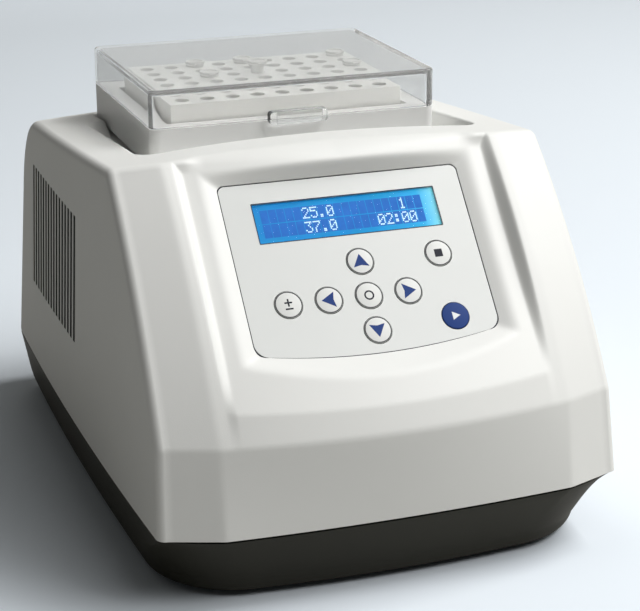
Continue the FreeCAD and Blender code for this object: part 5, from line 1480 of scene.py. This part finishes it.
class DRYBATH_OT_tubes(bpy.types.Operator):
    """Model the capped sample tubes that stand in some of the wells"""
    bl_idname = "dry_bath.tubes"
    bl_label = "Sample tubes"

    def execute(self, context):
        raised = context.scene.dry_bath_tubes.raised
        low, high = (np.array(corner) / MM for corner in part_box("heating_block"))
        middle = (low + high) / 2
        tube = stacked([at_height(circle_ring(wide, 40), up) for wide, up in TUBE_PROFILE])
        parts = []
        for column, row in TUBE_WELLS:
            lift = raised if (column, row) == RAISED_TUBE else 0.0
            spot = (middle[0] + (column - 4) * WELL_PITCH, middle[1] + (row - 2.5) * WELL_PITCH,
                    high[2] + lift)
            parts += [place_at(tube, *spot), place_at(block_part(*TUBE_TAB), *spot)]
        piece = new_piece("capped_tubes", join_parts(parts), "tube_plastic", HOUSING, 40)
        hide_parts("sample_tubes")
        return {"FINISHED"}


class DRYBATH_OT_lid(bpy.types.Operator):
    """Model the clear lid with its hinge lugs and finger grip"""
    bl_idname = "dry_bath.lid"
    bl_label = "Clear lid"

    def execute(self, context):
        settings = context.scene.dry_bath_lid
        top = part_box("clear_lid")[1][2] / MM
        bottom = top - LID_HEIGHT
        wall = settings.wall

        def outline(inset):
            return rounded_ring(LID_WIDTH - 2 * inset, LID_DEPTH - 2 * inset, LID_CORNER - inset, 8)

        def hollow(inset):
            return rounded_ring(LID_WIDTH - 2 * (wall + inset), LID_DEPTH - 2 * (wall + inset),
                                LID_CORNER - wall / 2 - inset / 2, 8)

        outer = [at_height(outline(0.25), bottom)]
        outer += slab_rings(outline, bottom + 0.25, top, settings.edge_radius, 5)
        inner = slab_rings(hollow, bottom, top - wall, 0.8)
        part = place_at(stacked(inner[::-1] + outer), 0, COLLAR_Y)
        lid = new_piece("lid_shell", part, "lid_clear", LID, 25)
        rear = COLLAR_Y + LID_DEPTH / 2
        tools, bores = [], []
        for x in (-HINGE_X, HINGE_X):
            knuckle = cross_bar(LUG_DIAMETER, -LUG_WIDTH / 2, LUG_WIDTH / 2, 40, x, HINGE_Y, HINGE_Z)
            arm = block_part((x - LUG_WIDTH / 2, x + LUG_WIDTH / 2), (rear - wall / 2, HINGE_Y),
                             (HINGE_Z + 0.6, HINGE_Z + 2.9))
            bore = cross_bar(PIN_BORE, -LUG_WIDTH, LUG_WIDTH, 32, x, HINGE_Y, HINGE_Z)
            tools += [cutting_piece("knuckle", [knuckle]), cutting_piece("arm", [arm])]
            bores.append(cutting_piece("bore", [bore]))
        carve(lid, tools, "UNION")
        carve(lid, bores)
        smooth_edges(lid.data, 25)
        for face in lid.data.polygons:
            if abs(face.normal.z) > 0.999:
                face.use_smooth = False
        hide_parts("clear_lid")
        self.grip()
        return {"FINISHED"}

    def grip(self):
        """The grip: a clear bar with round ends and a shallow finger hollow."""
        low, high = (np.array(corner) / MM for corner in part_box("lid_grip"))
        low, high = low + (0.5, 0.0, 0.7), high - (0.5, 0.0, 1.0)
        wide, deep, tall = high - low
        middle = (low + high) / 2

        def outline(inset):
            return rounded_ring(wide - 2 * inset, tall - 2 * inset, 1.6 - inset * 0.9, 6)

        points, faces = stacked(slab_rings(outline, 0.0, deep - 0.02, 0.9))
        x, z, y = points.T
        points = np.column_stack([x + middle[0], high[1] - y - 0.01, z + middle[2]])
        grip = new_piece("finger_grip", (points, faces), "grip_clear", LID, 30)
        reach = wide / 2 - 3
        dish = cross_bar(DISH_DIAMETER, -reach, reach, 96, middle[0], low[1] - DISH_SHIFT, middle[2])
        carve(grip, [cutting_piece("dish", [dish])])
        smooth_edges(grip.data, 30)
        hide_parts("lid_grip")


# The add-on

STEPS = {
    "finishes": DRYBATH_OT_finishes,
    "housing": DRYBATH_OT_housing,
    "base": DRYBATH_OT_base,
    "lid": DRYBATH_OT_lid,
    "tubes": DRYBATH_OT_tubes,
    "display": DRYBATH_OT_display,
    "keys": DRYBATH_OT_keys,
    "stage": DRYBATH_OT_stage,
}


class DRYBATH_PT_panel(bpy.types.Panel):
    """Lists the steps that build the object"""
    bl_label = "Dry Bath"
    bl_idname = "DRYBATH_PT_panel"
    bl_space_type = "VIEW_3D"
    bl_region_type = "UI"
    bl_category = "Dry Bath"

    def draw(self, context):
        for step in STEPS:
            self.layout.operator("dry_bath." + step)


CLASSES = [*SETTINGS.values(), *STEPS.values(), DRYBATH_PT_panel]


def register():
    for cls in CLASSES:
        bpy.utils.register_class(cls)
    for name, group in SETTINGS.items():
        setattr(bpy.types.Scene, name, bpy.props.PointerProperty(type=group))


def unregister():
    for name in SETTINGS:
        delattr(bpy.types.Scene, name)
    for cls in reversed(CLASSES):
        bpy.utils.unregister_class(cls)


def main():
    register()
    for step in STEPS:
        getattr(bpy.ops.dry_bath, step)()


if __name__ == "__main__":
    main()
